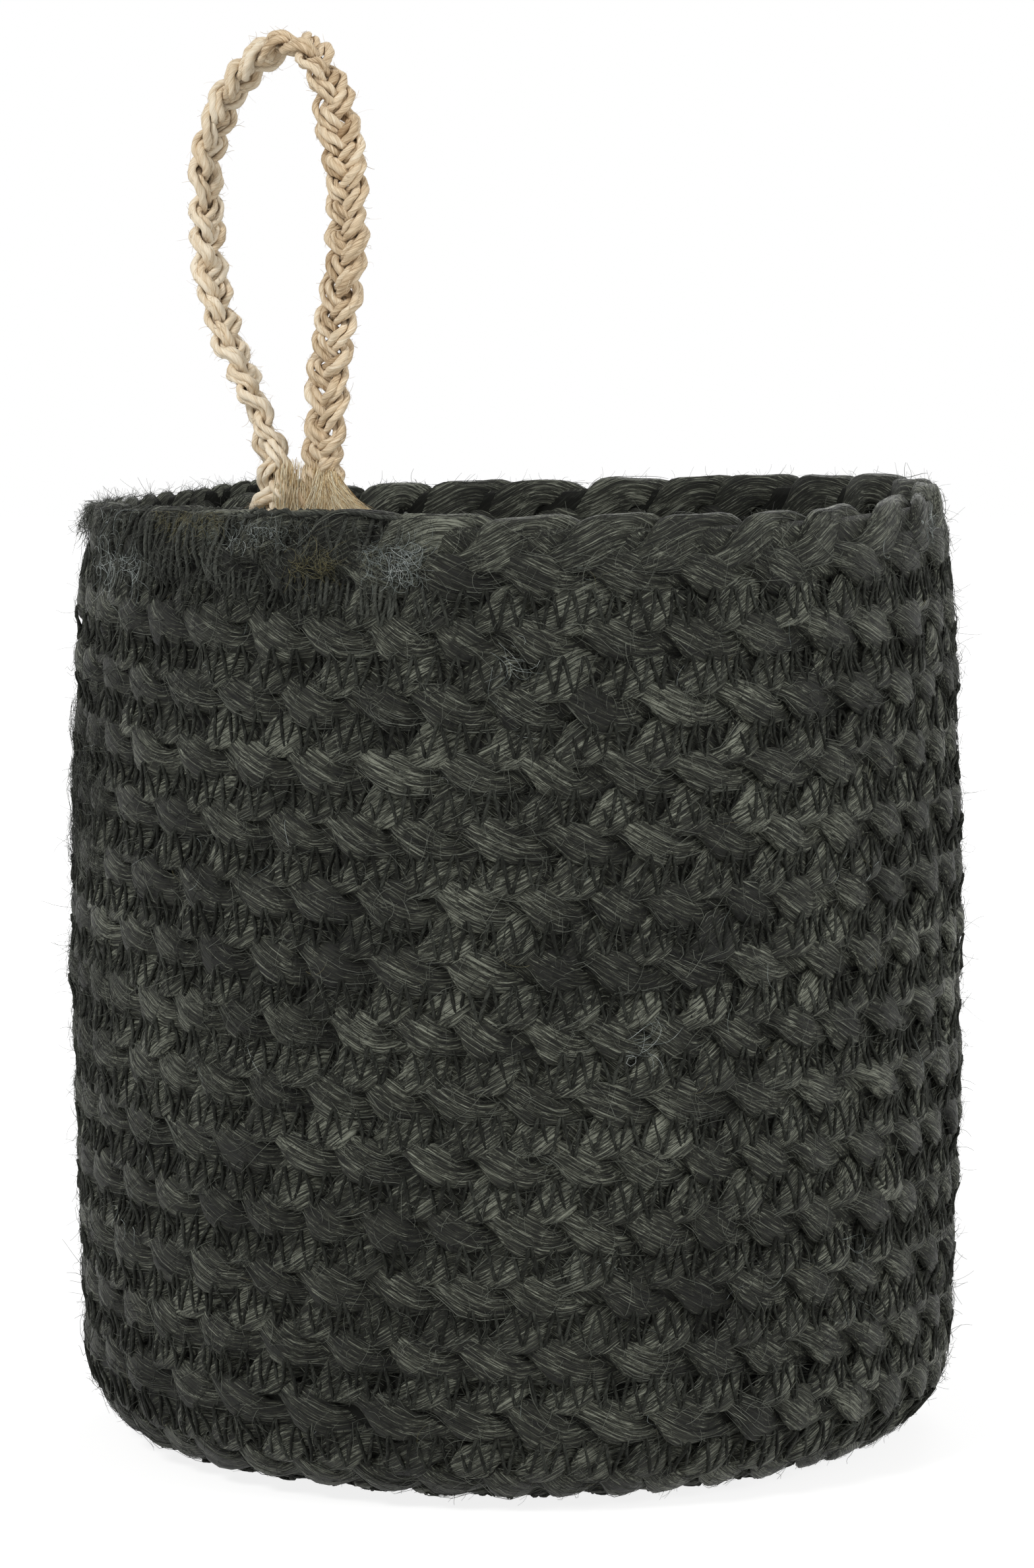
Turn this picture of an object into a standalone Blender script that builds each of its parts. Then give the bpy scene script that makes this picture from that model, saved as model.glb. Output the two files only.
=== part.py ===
"""A round jute basket with one hanging loop, modelled in metres with +Z up.

A flat plait of black jute is wound from the middle of the base outwards, round the corner
and up the wall, and each row is sewn to the row below it. A natural jute plait is bent into
a loop, and its two ends are sewn to the inside of the wall, at the front left.
The origin is the middle of the underside, and the front of the basket faces -Y.
A winding angle counts clockwise as seen from above, from the front.
"""

import math

import bmesh
import bpy
import numpy as np
from mathutils import Vector

MM = 0.001
TURN = 2 * math.pi

# Body of the basket
BELLY_RADIUS = 75.2 * MM  # outer face of the wall where it is widest
BELLY_HEIGHT = 80 * MM
CORNER_RADIUS = 15 * MM  # outer radius between the underside and the wall
BASE_DRAW_IN = 1.6 * MM  # how much narrower the wall is above the corner than at the belly
RIM_DRAW_IN = 3.0 * MM  # the same at the rim
TOP_SEAM_HEIGHT = 145.4 * MM  # lower edge of the top row, at the front
TOP_ROW_HEIGHT = 12.9 * MM  # from there to the lowest part of the rim's top edge
RIM_RISE = 3.4 * MM  # how much higher the rim is on the right
RIM_HIGH_ANGLE = math.radians(245)
BACK_LIFT = 6.0 * MM  # how much higher the top rows run at the back than at the front
BACK_LIFT_ANGLE = math.radians(205)

# Black plait
PLAIT_THICKNESS = 7.0 * MM
ROW_PITCH = 10.28 * MM
ROW_GAP = 0.45 * MM
CENTRE_RADIUS = 0.8 * MM  # pin hole that the first turn of the base is wound round
PLAIT_START_WIDTH = 4.5 * MM
TAIL_ANGLE = math.radians(150)  # where the plait ends under the rim
TAIL_TAPER_ANGLE = math.radians(60)
TAIL_TIP_HEIGHT = 2.0 * MM
TAIL_THICKNESS_SHARE = 0.5
RIM_RECOVERY_ANGLE = math.radians(25)  # the row under the tail swells to the rim in this angle
STATIONS_PER_TURN = 24
WALL_SPLIT_TURNS = 6  # turns of the plait above the split between the wall's two nodes
OUTLINE_SAMPLES = 4  # points on each side of the section when its gap is measured

# Section of the plait: shares of its width (up the wall) and of its thickness (outwards).
# The lower edge of each row is fuller, and it stands over the row below.
PLAIT_SECTION_SHARES = (
    (-0.40, 0.5),
    (0.16, 0.5),
    (0.5, 0.0),
    (0.28, -0.5),
    (-0.28, -0.5),
    (-0.5, 0.1),
)

# Black sewing thread
THREAD_RADIUS = 0.4 * MM
SEAT_GAP = 0.3 * MM  # between a piece and what it lies on
THREAD_END_GAP = 1.2 * MM  # between the end of the base's thread and the start of the wall's
SEAM_SLOPE_SHARE = 0.34  # how far up the slope of the lower row the thread lies
BINDING_START_ANGLE = math.radians(14)
BINDING_END_ANGLE = math.radians(74)
BINDING_HEIGHT = 8.0 * MM
BINDING_STITCH_PITCH = 3.4 * MM

# Natural jute loop
LOOP_ANGLE = math.radians(34.5)  # at the front left
LOOP_HEIGHT = 70.8 * MM  # from the fold to the middle of the strap at the top
LOOP_WIDTH = 28.0 * MM  # between the middles of the legs where they are furthest apart
STRAP_WIDTH = 7.4 * MM
STRAP_THICKNESS = 4.0 * MM
STRAP_STEPS = 2  # rings between one point of the route and the next
STRAP_END_RINGS = 3
FOLD_CLEARANCE = 1.0 * MM  # between the rim and the strap when it lies across it
FOLD_INSET = 1.2 * MM  # how far the fold lies inside the middle of the foot
FOLD_GAP = 1.0 * MM  # between the strap and the top of the foot when it hangs inwards
FOLD_IN_LIMIT = math.radians(140)
FOOT_LENGTH = 22.0 * MM
FOOT_WIDTH = 19.0 * MM
FOOT_THICKNESS = 4.4 * MM
FOOT_ROUNDING = 1.2 * MM
FOOT_STITCH_ROWS = 6
FOOT_STITCH_DROP = 9.0 * MM  # from the top of the foot to the first stitch
FOOT_STITCH_MARGIN = 3.4 * MM

# Route of the strap: shares of the loop's width (to the right) and height (upwards), then
# the turn of the strap's broad side, in quarter turns away from facing outwards.
LOOP_ROUTE_SHARES = (
    (-0.155, 0.000, 0.00),
    (-0.160, 0.075, 0.15),
    (-0.255, 0.165, 0.50),
    (-0.360, 0.250, 0.85),
    (-0.480, 0.335, 1.00),
    (-0.575, 0.440, 1.00),
    (-0.620, 0.560, 1.00),
    (-0.645, 0.680, 1.00),
    (-0.610, 0.770, 1.00),
    (-0.520, 0.860, 1.00),
    (-0.360, 0.935, 1.00),
    (-0.180, 0.985, 1.00),
    (-0.020, 1.000, 1.00),
    (0.120, 0.975, 0.95),
    (0.225, 0.905, 0.80),
    (0.290, 0.820, 0.50),
    (0.335, 0.720, 0.25),
    (0.350, 0.610, 0.10),
    (0.330, 0.500, 0.00),
    (0.270, 0.390, 0.00),
    (0.220, 0.280, 0.00),
    (0.195, 0.180, 0.00),
    (0.175, 0.080, 0.00),
    (0.170, 0.000, 0.00),
)
# Places across the foot, as shares of half its width, and how thick and long it is there.
FOOT_PROFILE_SHARES = ((-1, 0.55), (-0.8, 1), (0, 1), (0.8, 1), (1, 0.55))

# Section of the strap: shares of its width and its thickness.
STRAP_SECTION_SHARES = (
    (-0.5, -0.16),
    (-0.32, -0.5),
    (0.32, -0.5),
    (0.5, -0.16),
    (0.5, 0.16),
    (0.32, 0.5),
    (-0.32, 0.5),
    (-0.5, 0.16),
)

# Sizes worked out from the ones above
RIM_HEIGHT = TOP_SEAM_HEIGHT + TOP_ROW_HEIGHT
ROW_WIDTH = ROW_PITCH - ROW_GAP
CORNER_MIDDLE_RADIUS = CORNER_RADIUS - PLAIT_THICKNESS / 2
WALL_MIDDLE_RADIUS = BELLY_RADIUS - PLAIT_THICKNESS / 2
CORNER_TOP_RADIUS = WALL_MIDDLE_RADIUS - BASE_DRAW_IN
BASE_FLAT_RADIUS = CORNER_TOP_RADIUS - CORNER_MIDDLE_RADIUS
CORNER_LENGTH = CORNER_MIDDLE_RADIUS * math.pi / 2
CORNER_HEIGHT = PLAIT_THICKNESS / 2 + CORNER_MIDDLE_RADIUS


def smooth(share):
    """0 to 1 with level ends."""
    share = min(max(share, 0.0), 1.0)
    return share * share * (3 - 2 * share)


def meridian(length):
    """Radius, height and lean of the plait's middle, this far out from the axis along it.

    The lean is the direction of a row's width: 0 on the base and a quarter turn on the wall.
    """
    if length <= BASE_FLAT_RADIUS:
        return length, PLAIT_THICKNESS / 2, 0.0
    along = length - BASE_FLAT_RADIUS
    if along <= CORNER_LENGTH:
        lean = along / CORNER_MIDDLE_RADIUS
        radius = BASE_FLAT_RADIUS + CORNER_MIDDLE_RADIUS * math.sin(lean)
        return radius, CORNER_HEIGHT - CORNER_MIDDLE_RADIUS * math.cos(lean), lean
    height = CORNER_HEIGHT + along - CORNER_LENGTH
    return wall_radius(height), height, math.pi / 2


def wall_radius(height):
    """Radius of the middle of the wall at a height above the corner."""
    if height < BELLY_HEIGHT:
        draw_in, reach = BASE_DRAW_IN, BELLY_HEIGHT - CORNER_HEIGHT
    else:
        draw_in, reach = RIM_DRAW_IN, RIM_HEIGHT - BELLY_HEIGHT
    return WALL_MIDDLE_RADIUS - draw_in * ((height - BELLY_HEIGHT) / reach) ** 2


def length_at_height(height):
    return BASE_FLAT_RADIUS + CORNER_LENGTH + height - CORNER_HEIGHT


def seam_length(angle):
    """How far along the meridian the lower edge of the plait lies at a winding angle."""
    length = length_at_height(TOP_SEAM_HEIGHT) + ROW_PITCH * angle / TURN
    above_corner = max(0.0, length - length_at_height(CORNER_HEIGHT))
    share = above_corner / (TOP_SEAM_HEIGHT - CORNER_HEIGHT)
    lift = BACK_LIFT * (1 - math.cos(angle - BACK_LIFT_ANGLE + math.pi)) / 2
    front_lift = BACK_LIFT * (1 - math.cos(math.pi - BACK_LIFT_ANGLE)) / 2
    return length + (lift - front_lift) * share


def rim_length(angle):
    level = (1 - math.cos(angle - RIM_HIGH_ANGLE + math.pi)) / 2
    return length_at_height(RIM_HEIGHT + RIM_RISE * level ** 2)


def row_edges(angle):
    """Lower and upper edge of the plait along the meridian, and its share of full thickness."""
    lower = max(seam_length(angle), CENTRE_RADIUS)
    rim = rim_length(angle)
    to_tail = TAIL_ANGLE - angle
    if to_tail < TAIL_TAPER_ANGLE:
        narrow = smooth(1 - to_tail / TAIL_TAPER_ANGLE)
        upper = rim + (lower + TAIL_TIP_HEIGHT - rim) * narrow
        return lower, upper, 1 - (1 - TAIL_THICKNESS_SHARE) * narrow
    past_tail = angle - (TAIL_ANGLE - TURN)
    row_above = seam_length(angle + TURN) - ROW_GAP
    swell = smooth(past_tail / RIM_RECOVERY_ANGLE)
    return lower, row_above + (rim - row_above) * swell, 1.0


def start_angle():
    """Winding angle, on a station, where the plait starts at the middle of the base."""
    upper = CENTRE_RADIUS + PLAIT_START_WIDTH + ROW_GAP
    turns = (upper - length_at_height(TOP_SEAM_HEIGHT)) / ROW_PITCH - 1
    return math.ceil(turns * STATIONS_PER_TURN) * TURN / STATIONS_PER_TURN


def base_end_angle():
    """Winding angle, on a station, where the plait leaves the flat of the base."""
    turns = (BASE_FLAT_RADIUS - ROW_WIDTH - length_at_height(TOP_SEAM_HEIGHT)) / ROW_PITCH
    return math.floor(turns * STATIONS_PER_TURN) * TURN / STATIONS_PER_TURN


def corner_end_angle():
    """Winding angle, on a station, where the whole plait has left the corner."""
    turns = (length_at_height(CORNER_HEIGHT) - length_at_height(TOP_SEAM_HEIGHT)) / ROW_PITCH
    return math.ceil(turns * STATIONS_PER_TURN) * TURN / STATIONS_PER_TURN


def around(angle, radius, height):
    """The point at a winding angle from the front, a radius and a height."""
    return Vector((-radius * math.sin(angle), -radius * math.cos(angle), height))


def station(angle, length):
    """Middle, width direction and outward direction of the plait at an angle and a length."""
    radius, height, lean = meridian(length)
    out = around(angle, 1, 0)
    width = out * math.cos(lean) + Vector((0, 0, math.sin(lean)))
    outward = out * math.sin(lean) - Vector((0, 0, math.cos(lean)))
    return around(angle, radius, height), width, outward


def plait_ring(angle):
    """Corners of the plait's section at a winding angle."""
    lower, upper, thickness_share = row_edges(angle)
    middle, width, outward = station(angle, (lower + upper) / 2)
    span = upper - lower
    thick = PLAIT_THICKNESS * thickness_share
    return [middle + width * span * a + outward * thick * b for a, b in PLAIT_SECTION_SHARES]


def angles_between(first, last):
    """Every station angle from first to last, and both ends."""
    step = TURN / STATIONS_PER_TURN
    inner = range(math.floor(first / step) + 1, math.ceil(last / step))
    return [first] + [step * number for number in inner] + [last]


def material(name, colour, roughness):
    made = bpy.data.materials.new(name)
    made.use_nodes = True
    shader = made.node_tree.nodes["Principled BSDF"]
    shader.inputs["Base Color"].default_value = (*colour, 1)
    shader.inputs["Roughness"].default_value = roughness
    shader.inputs["Metallic"].default_value = 0
    made.diffuse_color = (*colour, 1)
    return made


def add_object(name, data, finish, collection):
    obj = bpy.data.objects.new(name, data)
    data.materials.append(finish)
    collection.objects.link(obj)
    return obj


def loft(name, rings, finish, collection):
    """A closed solid through rings of corners whose sizes and leans differ."""
    shape = bmesh.new()
    loops = [[shape.verts.new(corner) for corner in ring] for ring in rings]
    for first, second in zip(loops, loops[1:]):
        for index in range(len(first)):
            after = (index + 1) % len(first)
            shape.faces.new((first[index], first[after], second[after], second[index]))
    shape.faces.new(reversed(loops[0]))
    shape.faces.new(loops[-1])
    bmesh.ops.recalc_face_normals(shape, faces=shape.faces)
    mesh = bpy.data.meshes.new(name)
    shape.to_mesh(mesh)
    shape.free()
    return add_object(name, mesh, finish, collection)


def thread(name, points, finish, collection):
    """A round thread through points, with closed ends."""
    curve = bpy.data.curves.new(name, "CURVE")
    curve.dimensions = "3D"
    curve.bevel_depth = THREAD_RADIUS
    curve.bevel_resolution = 0
    curve.use_fill_caps = True
    spline = curve.splines.new("POLY")
    spline.points.add(len(points) - 1)
    for knot, point in zip(spline.points, points):
        knot.co = (*point, 1)
    return add_object(name, curve, finish, collection)


def wound_plait(name, first, last, finish, collection):
    rings = [plait_ring(angle) for angle in angles_between(first, last)]
    print(f"{name}: least gap to itself {self_gap(first, last) / MM:.2f} mm")
    return loft(name, rings, finish, collection)


def self_gap(first, last):
    """Least distance between the outlines of one turn and the next, on points."""
    shares = [sample / OUTLINE_SAMPLES for sample in range(OUTLINE_SAMPLES)]
    outlines = []
    for angle in angles_between(first, last):
        ring = np.array(plait_ring(angle))
        after = np.roll(ring, -1, axis=0)
        outlines.append(np.concatenate([ring + (after - ring) * share for share in shares]))
    least = math.inf
    for index in range(len(outlines) - STATIONS_PER_TURN - 1):
        turn_later = index + STATIONS_PER_TURN
        others = np.concatenate(outlines[turn_later - 1 : turn_later + 2])
        apart = np.linalg.norm(outlines[index][:, None] - others[None], axis=2)
        least = min(least, apart.min())
    return least


def seam_point(angle):
    """Middle of the sewing thread in the groove under the row at a winding angle."""
    ring = plait_ring(angle - TURN)
    corner, top = ring[1], ring[2]
    slope = (corner - top).normalized()
    round_axis = around(angle - math.pi / 2, 1, 0)
    away = slope.cross(round_axis)
    if away.dot(corner - ring[4]) < 0:
        away = -away
    return top.lerp(corner, SEAM_SLOPE_SHARE) + away * (THREAD_RADIUS + SEAT_GAP)


def seam_thread(name, first, last, finish, collection):
    points = [seam_point(angle) for angle in angles_between(first, last)]
    return thread(name, points, finish, collection)


def binding_thread(finish, collection):
    """Close stitches across the top seam, from the loop to the tail of the plait."""
    reach = (BINDING_END_ANGLE - BINDING_START_ANGLE) * BELLY_RADIUS
    count = 2 * round(reach / BINDING_STITCH_PITCH)
    points = []
    for index in range(count + 1):
        angle = BINDING_START_ANGLE + (BINDING_END_ANGLE - BINDING_START_ANGLE) * index / count
        seam = meridian(seam_length(angle))[1]
        side = BINDING_HEIGHT / 2 if index % 2 else -BINDING_HEIGHT / 2
        radius = wall_radius(seam) + PLAIT_THICKNESS / 2 + SEAT_GAP + THREAD_RADIUS
        points.append(around(angle, radius, seam + side))
    return thread("rim_binding_thread", points, finish, collection)


def inner_face_radius():
    """Inner face of the top row behind the loop, where it isn't faceted."""
    lower, upper, _ = row_edges(LOOP_ANGLE)
    return meridian((lower + upper) / 2)[0] - PLAIT_THICKNESS / 2


def chord_radius(radius, angle):
    """Radius of the straight facet between two stations whose corners lie at a radius."""
    step = TURN / STATIONS_PER_TURN
    return radius * math.cos(step / 2) / math.cos(step / 2 - angle % step)


def foot_middle_radius():
    face = chord_radius(inner_face_radius(), LOOP_ANGLE)
    return face - SEAT_GAP - FOOT_THICKNESS / 2


def fold_point():
    """Middle of the line that the loop folds about, just above its foot and the rim."""
    rim_height = meridian(rim_length(LOOP_ANGLE))[1]
    height = rim_height + FOLD_CLEARANCE + STRAP_THICKNESS / 2
    return around(LOOP_ANGLE, foot_middle_radius() - FOLD_INSET, height)


def loop_directions():
    """Right along the rim, outwards and up, at the loop."""
    outward = around(LOOP_ANGLE, 1, 0)
    return around(LOOP_ANGLE - math.pi / 2, 1, 0), outward, Vector((0, 0, 1))


def foot_ring(angle, share):
    """Section of the foot at an angle, thinner and shorter where the share is less.

    Its top slopes away from the strap as that folds down into the basket.
    """
    fold = fold_point()
    reach = STRAP_THICKNESS / 2 + SEAT_GAP
    thick = FOOT_THICKNESS * share
    face = chord_radius(inner_face_radius(), angle) - SEAT_GAP
    top = fold.z - reach
    bottom = top - FOOT_LENGTH * share
    below = math.pi - FOLD_IN_LIMIT
    shift = foot_middle_radius() + FOOT_THICKNESS / 2 - math.hypot(fold.x, fold.y)
    clear = STRAP_THICKNESS / 2 + FOLD_GAP
    slope_top = shift - clear / math.cos(below) + reach * math.tan(below)
    slope_drop = (thick - slope_top) / math.tan(below)
    corners = (
        (0, top),
        (min(slope_top, thick / 2), top),
        (thick, top - max(slope_drop, FOOT_ROUNDING)),
        (thick, bottom + FOOT_ROUNDING),
        (thick - FOOT_ROUNDING, bottom),
        (FOOT_ROUNDING / 2, bottom),
        (0, bottom + FOOT_ROUNDING),
    )
    return [around(angle, face - inset, height) for inset, height in corners]


def loop_foot(finish, collection):
    """The two ends of the strap, laid side by side and sewn flat against the wall."""
    half = FOOT_WIDTH / 2 / foot_middle_radius()
    rings = [foot_ring(LOOP_ANGLE + half * side, share) for side, share in FOOT_PROFILE_SHARES]
    return loft("loop_foot", rings, finish, collection)


def foot_thread(finish, collection):
    """Stitches to and fro across the foot's inner face."""
    half = (FOOT_WIDTH / 2 - FOOT_STITCH_MARGIN) / foot_middle_radius()
    top = fold_point().z - FOOT_STITCH_DROP
    bottom = fold_point().z - STRAP_THICKNESS / 2 - FOOT_LENGTH + FOOT_STITCH_MARGIN
    points = []
    for row in range(FOOT_STITCH_ROWS):
        angle = LOOP_ANGLE + half * (1 if row % 2 else -1)
        face = chord_radius(inner_face_radius(), angle) - SEAT_GAP - FOOT_THICKNESS
        height = top + (bottom - top) * row / (FOOT_STITCH_ROWS - 1)
        points.append(around(angle, face - SEAT_GAP - THREAD_RADIUS, height))
    return thread("loop_foot_thread", points, finish, collection)


def route_between(before, start, end, after, share):
    """A point on the smooth curve from start to end, given the points on either side."""
    return (
        start * 2
        + (end - before) * share
        + (before * 2 - start * 5 + end * 4 - after) * share ** 2
        + (start * 3 - before - end * 3 + after) * share ** 3
    ) / 2


def strap_route():
    """Right, up and quarter turn of the strap, ring by ring from its left end to its right."""
    knots = [Vector((x * LOOP_WIDTH, z * LOOP_HEIGHT, turn)) for x, z, turn in LOOP_ROUTE_SHARES]
    padded = [knots[0]] + knots + [knots[-1]]
    route = []
    for index in range(len(knots) - 1):
        for step in range(STRAP_STEPS):
            route.append(route_between(*padded[index : index + 4], step / STRAP_STEPS))
    return route + [knots[-1]]


def strap_ring(point, ahead, scale):
    """Corners of the strap's section, square to its route."""
    right, outward, up = loop_directions()
    along = (right * ahead.x + up * ahead.y).normalized()
    side = along.cross(outward)
    turn = point.z * math.pi / 2
    broad = side * math.cos(turn) + outward * math.sin(turn)
    thin = outward * math.cos(turn) - side * math.sin(turn)
    middle = right * point.x + up * point.y
    return [
        middle + (broad * STRAP_WIDTH * a + thin * STRAP_THICKNESS * b) * scale
        for a, b in STRAP_SECTION_SHARES
    ]


def loop_bow(finish, collection):
    """The strap from one end to the other, with rounded ends on the fold."""
    route = strap_route()
    down = Vector((0, -STRAP_THICKNESS / 2, 0))
    rings = []
    for number in range(STRAP_END_RINGS, 0, -1):
        lean = math.pi / 2 * number / (STRAP_END_RINGS + 1)
        rings.append(strap_ring(route[0] + down * math.sin(lean), -down, math.cos(lean)))
    for index, point in enumerate(route):
        before, after = route[max(index - 1, 0)], route[min(index + 1, len(route) - 1)]
        rings.append(strap_ring(point, after - before, 1))
    for number in range(1, STRAP_END_RINGS + 1):
        lean = math.pi / 2 * number / (STRAP_END_RINGS + 1)
        rings.append(strap_ring(route[-1] + down * math.sin(lean), down, math.cos(lean)))
    obj = loft("loop_bow", rings, finish, collection)
    obj.location = fold_point()
    return obj


def clear_scene():
    for obj in list(bpy.data.objects):
        bpy.data.objects.remove(obj, do_unlink=True)


def main():
    clear_scene()
    parts = bpy.data.collections.new("jute_basket")
    bpy.context.scene.collection.children.link(parts)
    black = material("black jute", (0.028, 0.029, 0.028), 0.75)
    dark = material("black thread", (0.014, 0.014, 0.014), 0.8)
    start, corner, wall = start_angle(), base_end_angle(), corner_end_angle()
    split = -WALL_SPLIT_TURNS * TURN
    end_gap = SEAT_GAP / BASE_FLAT_RADIUS / 2
    thread_gap = THREAD_END_GAP / BASE_FLAT_RADIUS
    wound_plait("base_coil", start, corner - end_gap, black, parts)
    wound_plait("corner_coil", corner + end_gap, wall - end_gap, black, parts)
    wound_plait("lower_wall_coil", wall + end_gap, split - end_gap, black, parts)
    wound_plait("upper_wall_coil", split + end_gap, TAIL_ANGLE, black, parts)
    seam_thread("base_seam_thread", start + TURN, corner, dark, parts)
    seam_thread("wall_seam_thread", corner + thread_gap, TAIL_ANGLE, dark, parts)
    binding_thread(dark, parts)
    natural = material("natural jute", (0.58, 0.42, 0.23), 0.8)
    loop_foot(natural, parts)
    foot_thread(dark, parts)
    loop_bow(natural, parts)


main()
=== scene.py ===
import math

import bpy
import numpy as np
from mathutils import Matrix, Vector


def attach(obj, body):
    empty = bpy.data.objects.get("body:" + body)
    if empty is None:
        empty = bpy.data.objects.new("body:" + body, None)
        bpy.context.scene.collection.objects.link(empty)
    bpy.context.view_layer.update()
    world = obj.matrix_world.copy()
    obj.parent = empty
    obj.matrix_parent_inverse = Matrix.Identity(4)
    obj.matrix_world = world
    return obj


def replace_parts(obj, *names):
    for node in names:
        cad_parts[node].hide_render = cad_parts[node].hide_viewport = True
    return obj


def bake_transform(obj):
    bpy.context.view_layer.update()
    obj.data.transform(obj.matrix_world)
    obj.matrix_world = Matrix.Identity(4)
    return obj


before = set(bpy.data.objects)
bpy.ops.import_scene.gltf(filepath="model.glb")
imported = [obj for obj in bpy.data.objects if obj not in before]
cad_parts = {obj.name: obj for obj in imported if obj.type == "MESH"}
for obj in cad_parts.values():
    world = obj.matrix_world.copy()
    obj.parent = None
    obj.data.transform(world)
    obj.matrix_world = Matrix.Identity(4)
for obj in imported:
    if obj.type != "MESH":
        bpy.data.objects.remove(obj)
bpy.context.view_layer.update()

# A round basket sewn from a flat plait of black jute, with a loop of natural jute.
# Metres, +Z up, front towards -Y. A winding angle counts clockwise from above, from the front.
MM = 0.001
TURN = 2 * math.pi

# The CAD's own sizes
BELLY_RADIUS, BELLY_HEIGHT, CORNER_RADIUS = 75.2 * MM, 80 * MM, 15 * MM
BASE_DRAW_IN, RIM_DRAW_IN = 1.6 * MM, 3.0 * MM
TOP_SEAM_HEIGHT, TOP_ROW_HEIGHT = 145.4 * MM, 12.9 * MM
RIM_HEIGHT = TOP_SEAM_HEIGHT + TOP_ROW_HEIGHT
RIM_RISE, RIM_HIGH_ANGLE = 3.4 * MM, math.radians(245)
BACK_LIFT, BACK_LIFT_ANGLE = 6.0 * MM, math.radians(205)
PLAIT_THICKNESS, ROW_PITCH, ROW_GAP, CENTRE_RADIUS = 7.0 * MM, 10.28 * MM, 0.45 * MM, 0.8 * MM
TAIL_ANGLE, TAIL_TAPER_ANGLE = math.radians(150), math.radians(60)
TAIL_TIP_HEIGHT, TAIL_THICKNESS_SHARE = 2.0 * MM, 0.5
RIM_RECOVERY_ANGLE = math.radians(25)
START_ANGLE, BASE_END_ANGLE = math.radians(-7395), math.radians(-5550)
# The soft rim swells beside the loop and sags at the back: height, middle and reach.
RIM_SETTLING = ((1.4 * MM, math.radians(30), math.radians(35)),
                (-1.7 * MM, math.radians(197), math.radians(45)))
WALL_MIDDLE_RADIUS = BELLY_RADIUS - PLAIT_THICKNESS / 2
CORNER_MIDDLE_RADIUS = CORNER_RADIUS - PLAIT_THICKNESS / 2
BASE_FLAT_RADIUS = WALL_MIDDLE_RADIUS - BASE_DRAW_IN - CORNER_MIDDLE_RADIUS
CORNER_LENGTH = CORNER_MIDDLE_RADIUS * math.pi / 2
CORNER_HEIGHT = PLAIT_THICKNESS / 2 + CORNER_MIDDLE_RADIUS
LENGTH_AT_ZERO = BASE_FLAT_RADIUS + CORNER_LENGTH - CORNER_HEIGHT

rng = np.random.default_rng(20)


def smoothstep(x):
    x = np.clip(x, 0.0, 1.0)
    return x * x * (3 - 2 * x)


def meridian(length):
    """Radius, height and lean of the plait's middle, this far out from the axis along it."""
    length = np.asarray(length, float)
    along = np.clip(length - BASE_FLAT_RADIUS, 0, None)
    lean = np.minimum(along, CORNER_LENGTH) / CORNER_MIDDLE_RADIUS
    height = CORNER_HEIGHT + along - CORNER_LENGTH
    below = height < BELLY_HEIGHT
    draw_in = np.where(below, BASE_DRAW_IN, RIM_DRAW_IN)
    reach = np.where(below, BELLY_HEIGHT - CORNER_HEIGHT, RIM_HEIGHT - BELLY_HEIGHT)
    wall = WALL_MIDDLE_RADIUS - draw_in * ((height - BELLY_HEIGHT) / reach) ** 2
    curved = np.minimum(length, BASE_FLAT_RADIUS) + CORNER_MIDDLE_RADIUS * np.sin(lean)
    on_wall = along > CORNER_LENGTH
    return (
        np.where(on_wall, wall, curved),
        np.where(on_wall, height, CORNER_HEIGHT - CORNER_MIDDLE_RADIUS * np.cos(lean)),
        lean,
    )


def surface(angle, length, out):
    """Points at winding angles, lengths along the meridian and distances outwards."""
    radius, height, lean = meridian(length)
    radius = radius + np.sin(lean) * out
    height = height - np.cos(lean) * out
    return on_circle(radius, angle, height)


def outward_at(angle, length, tilt=0.0):
    """Unit vectors out of the basket's skin, tipped up by tilt."""
    lean = meridian(length)[2]
    across = np.sin(lean) + tilt * np.cos(lean)
    rise = -np.cos(lean) + tilt * np.sin(lean)
    v = on_circle(across, angle, rise)
    return v / np.linalg.norm(v, axis=-1, keepdims=True)


def seam_length(angle):
    length = LENGTH_AT_ZERO + TOP_SEAM_HEIGHT + ROW_PITCH * angle / TURN
    above = np.clip(length - LENGTH_AT_ZERO - CORNER_HEIGHT, 0, None)
    share = above / (TOP_SEAM_HEIGHT - CORNER_HEIGHT)
    lift = BACK_LIFT * (1 - np.cos(angle - BACK_LIFT_ANGLE + math.pi)) / 2
    front_lift = BACK_LIFT * (1 - math.cos(math.pi - BACK_LIFT_ANGLE)) / 2
    return length + (lift - front_lift) * share


def rim_length(angle):
    level = (1 - np.cos(angle - RIM_HIGH_ANGLE + math.pi)) / 2
    length = LENGTH_AT_ZERO + RIM_HEIGHT + RIM_RISE * level ** 2
    for height, middle, reach in RIM_SETTLING:
        apart = (np.asarray(angle) - middle + math.pi) % TURN - math.pi
        length = length + height * np.exp(-(apart / reach) ** 2)
    return length


def row_edges(angle):
    """Lower and upper edge, share of full thickness, and how far the row is the rim's (0 to 1)."""
    angle = np.asarray(angle, float)
    lower = np.maximum(seam_length(angle), CENTRE_RADIUS)
    rim = rim_length(angle)
    narrow = smoothstep(1 - (TAIL_ANGLE - angle) / TAIL_TAPER_ANGLE)
    swell = smoothstep((angle - (TAIL_ANGLE - TURN)) / RIM_RECOVERY_ANGLE)
    row_above = seam_length(angle + TURN) - ROW_GAP
    upper = row_above + (rim - row_above) * swell
    upper = upper + (lower + TAIL_TIP_HEIGHT - upper) * narrow
    return lower, upper, 1 - (1 - TAIL_THICKNESS_SHARE) * narrow, swell * (1 - narrow)


def between(values, i, f):
    """What a table holds between its rows i and i + 1, the share f of the way."""
    return values[i] * (1 - f) + values[i + 1] * f


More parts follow.
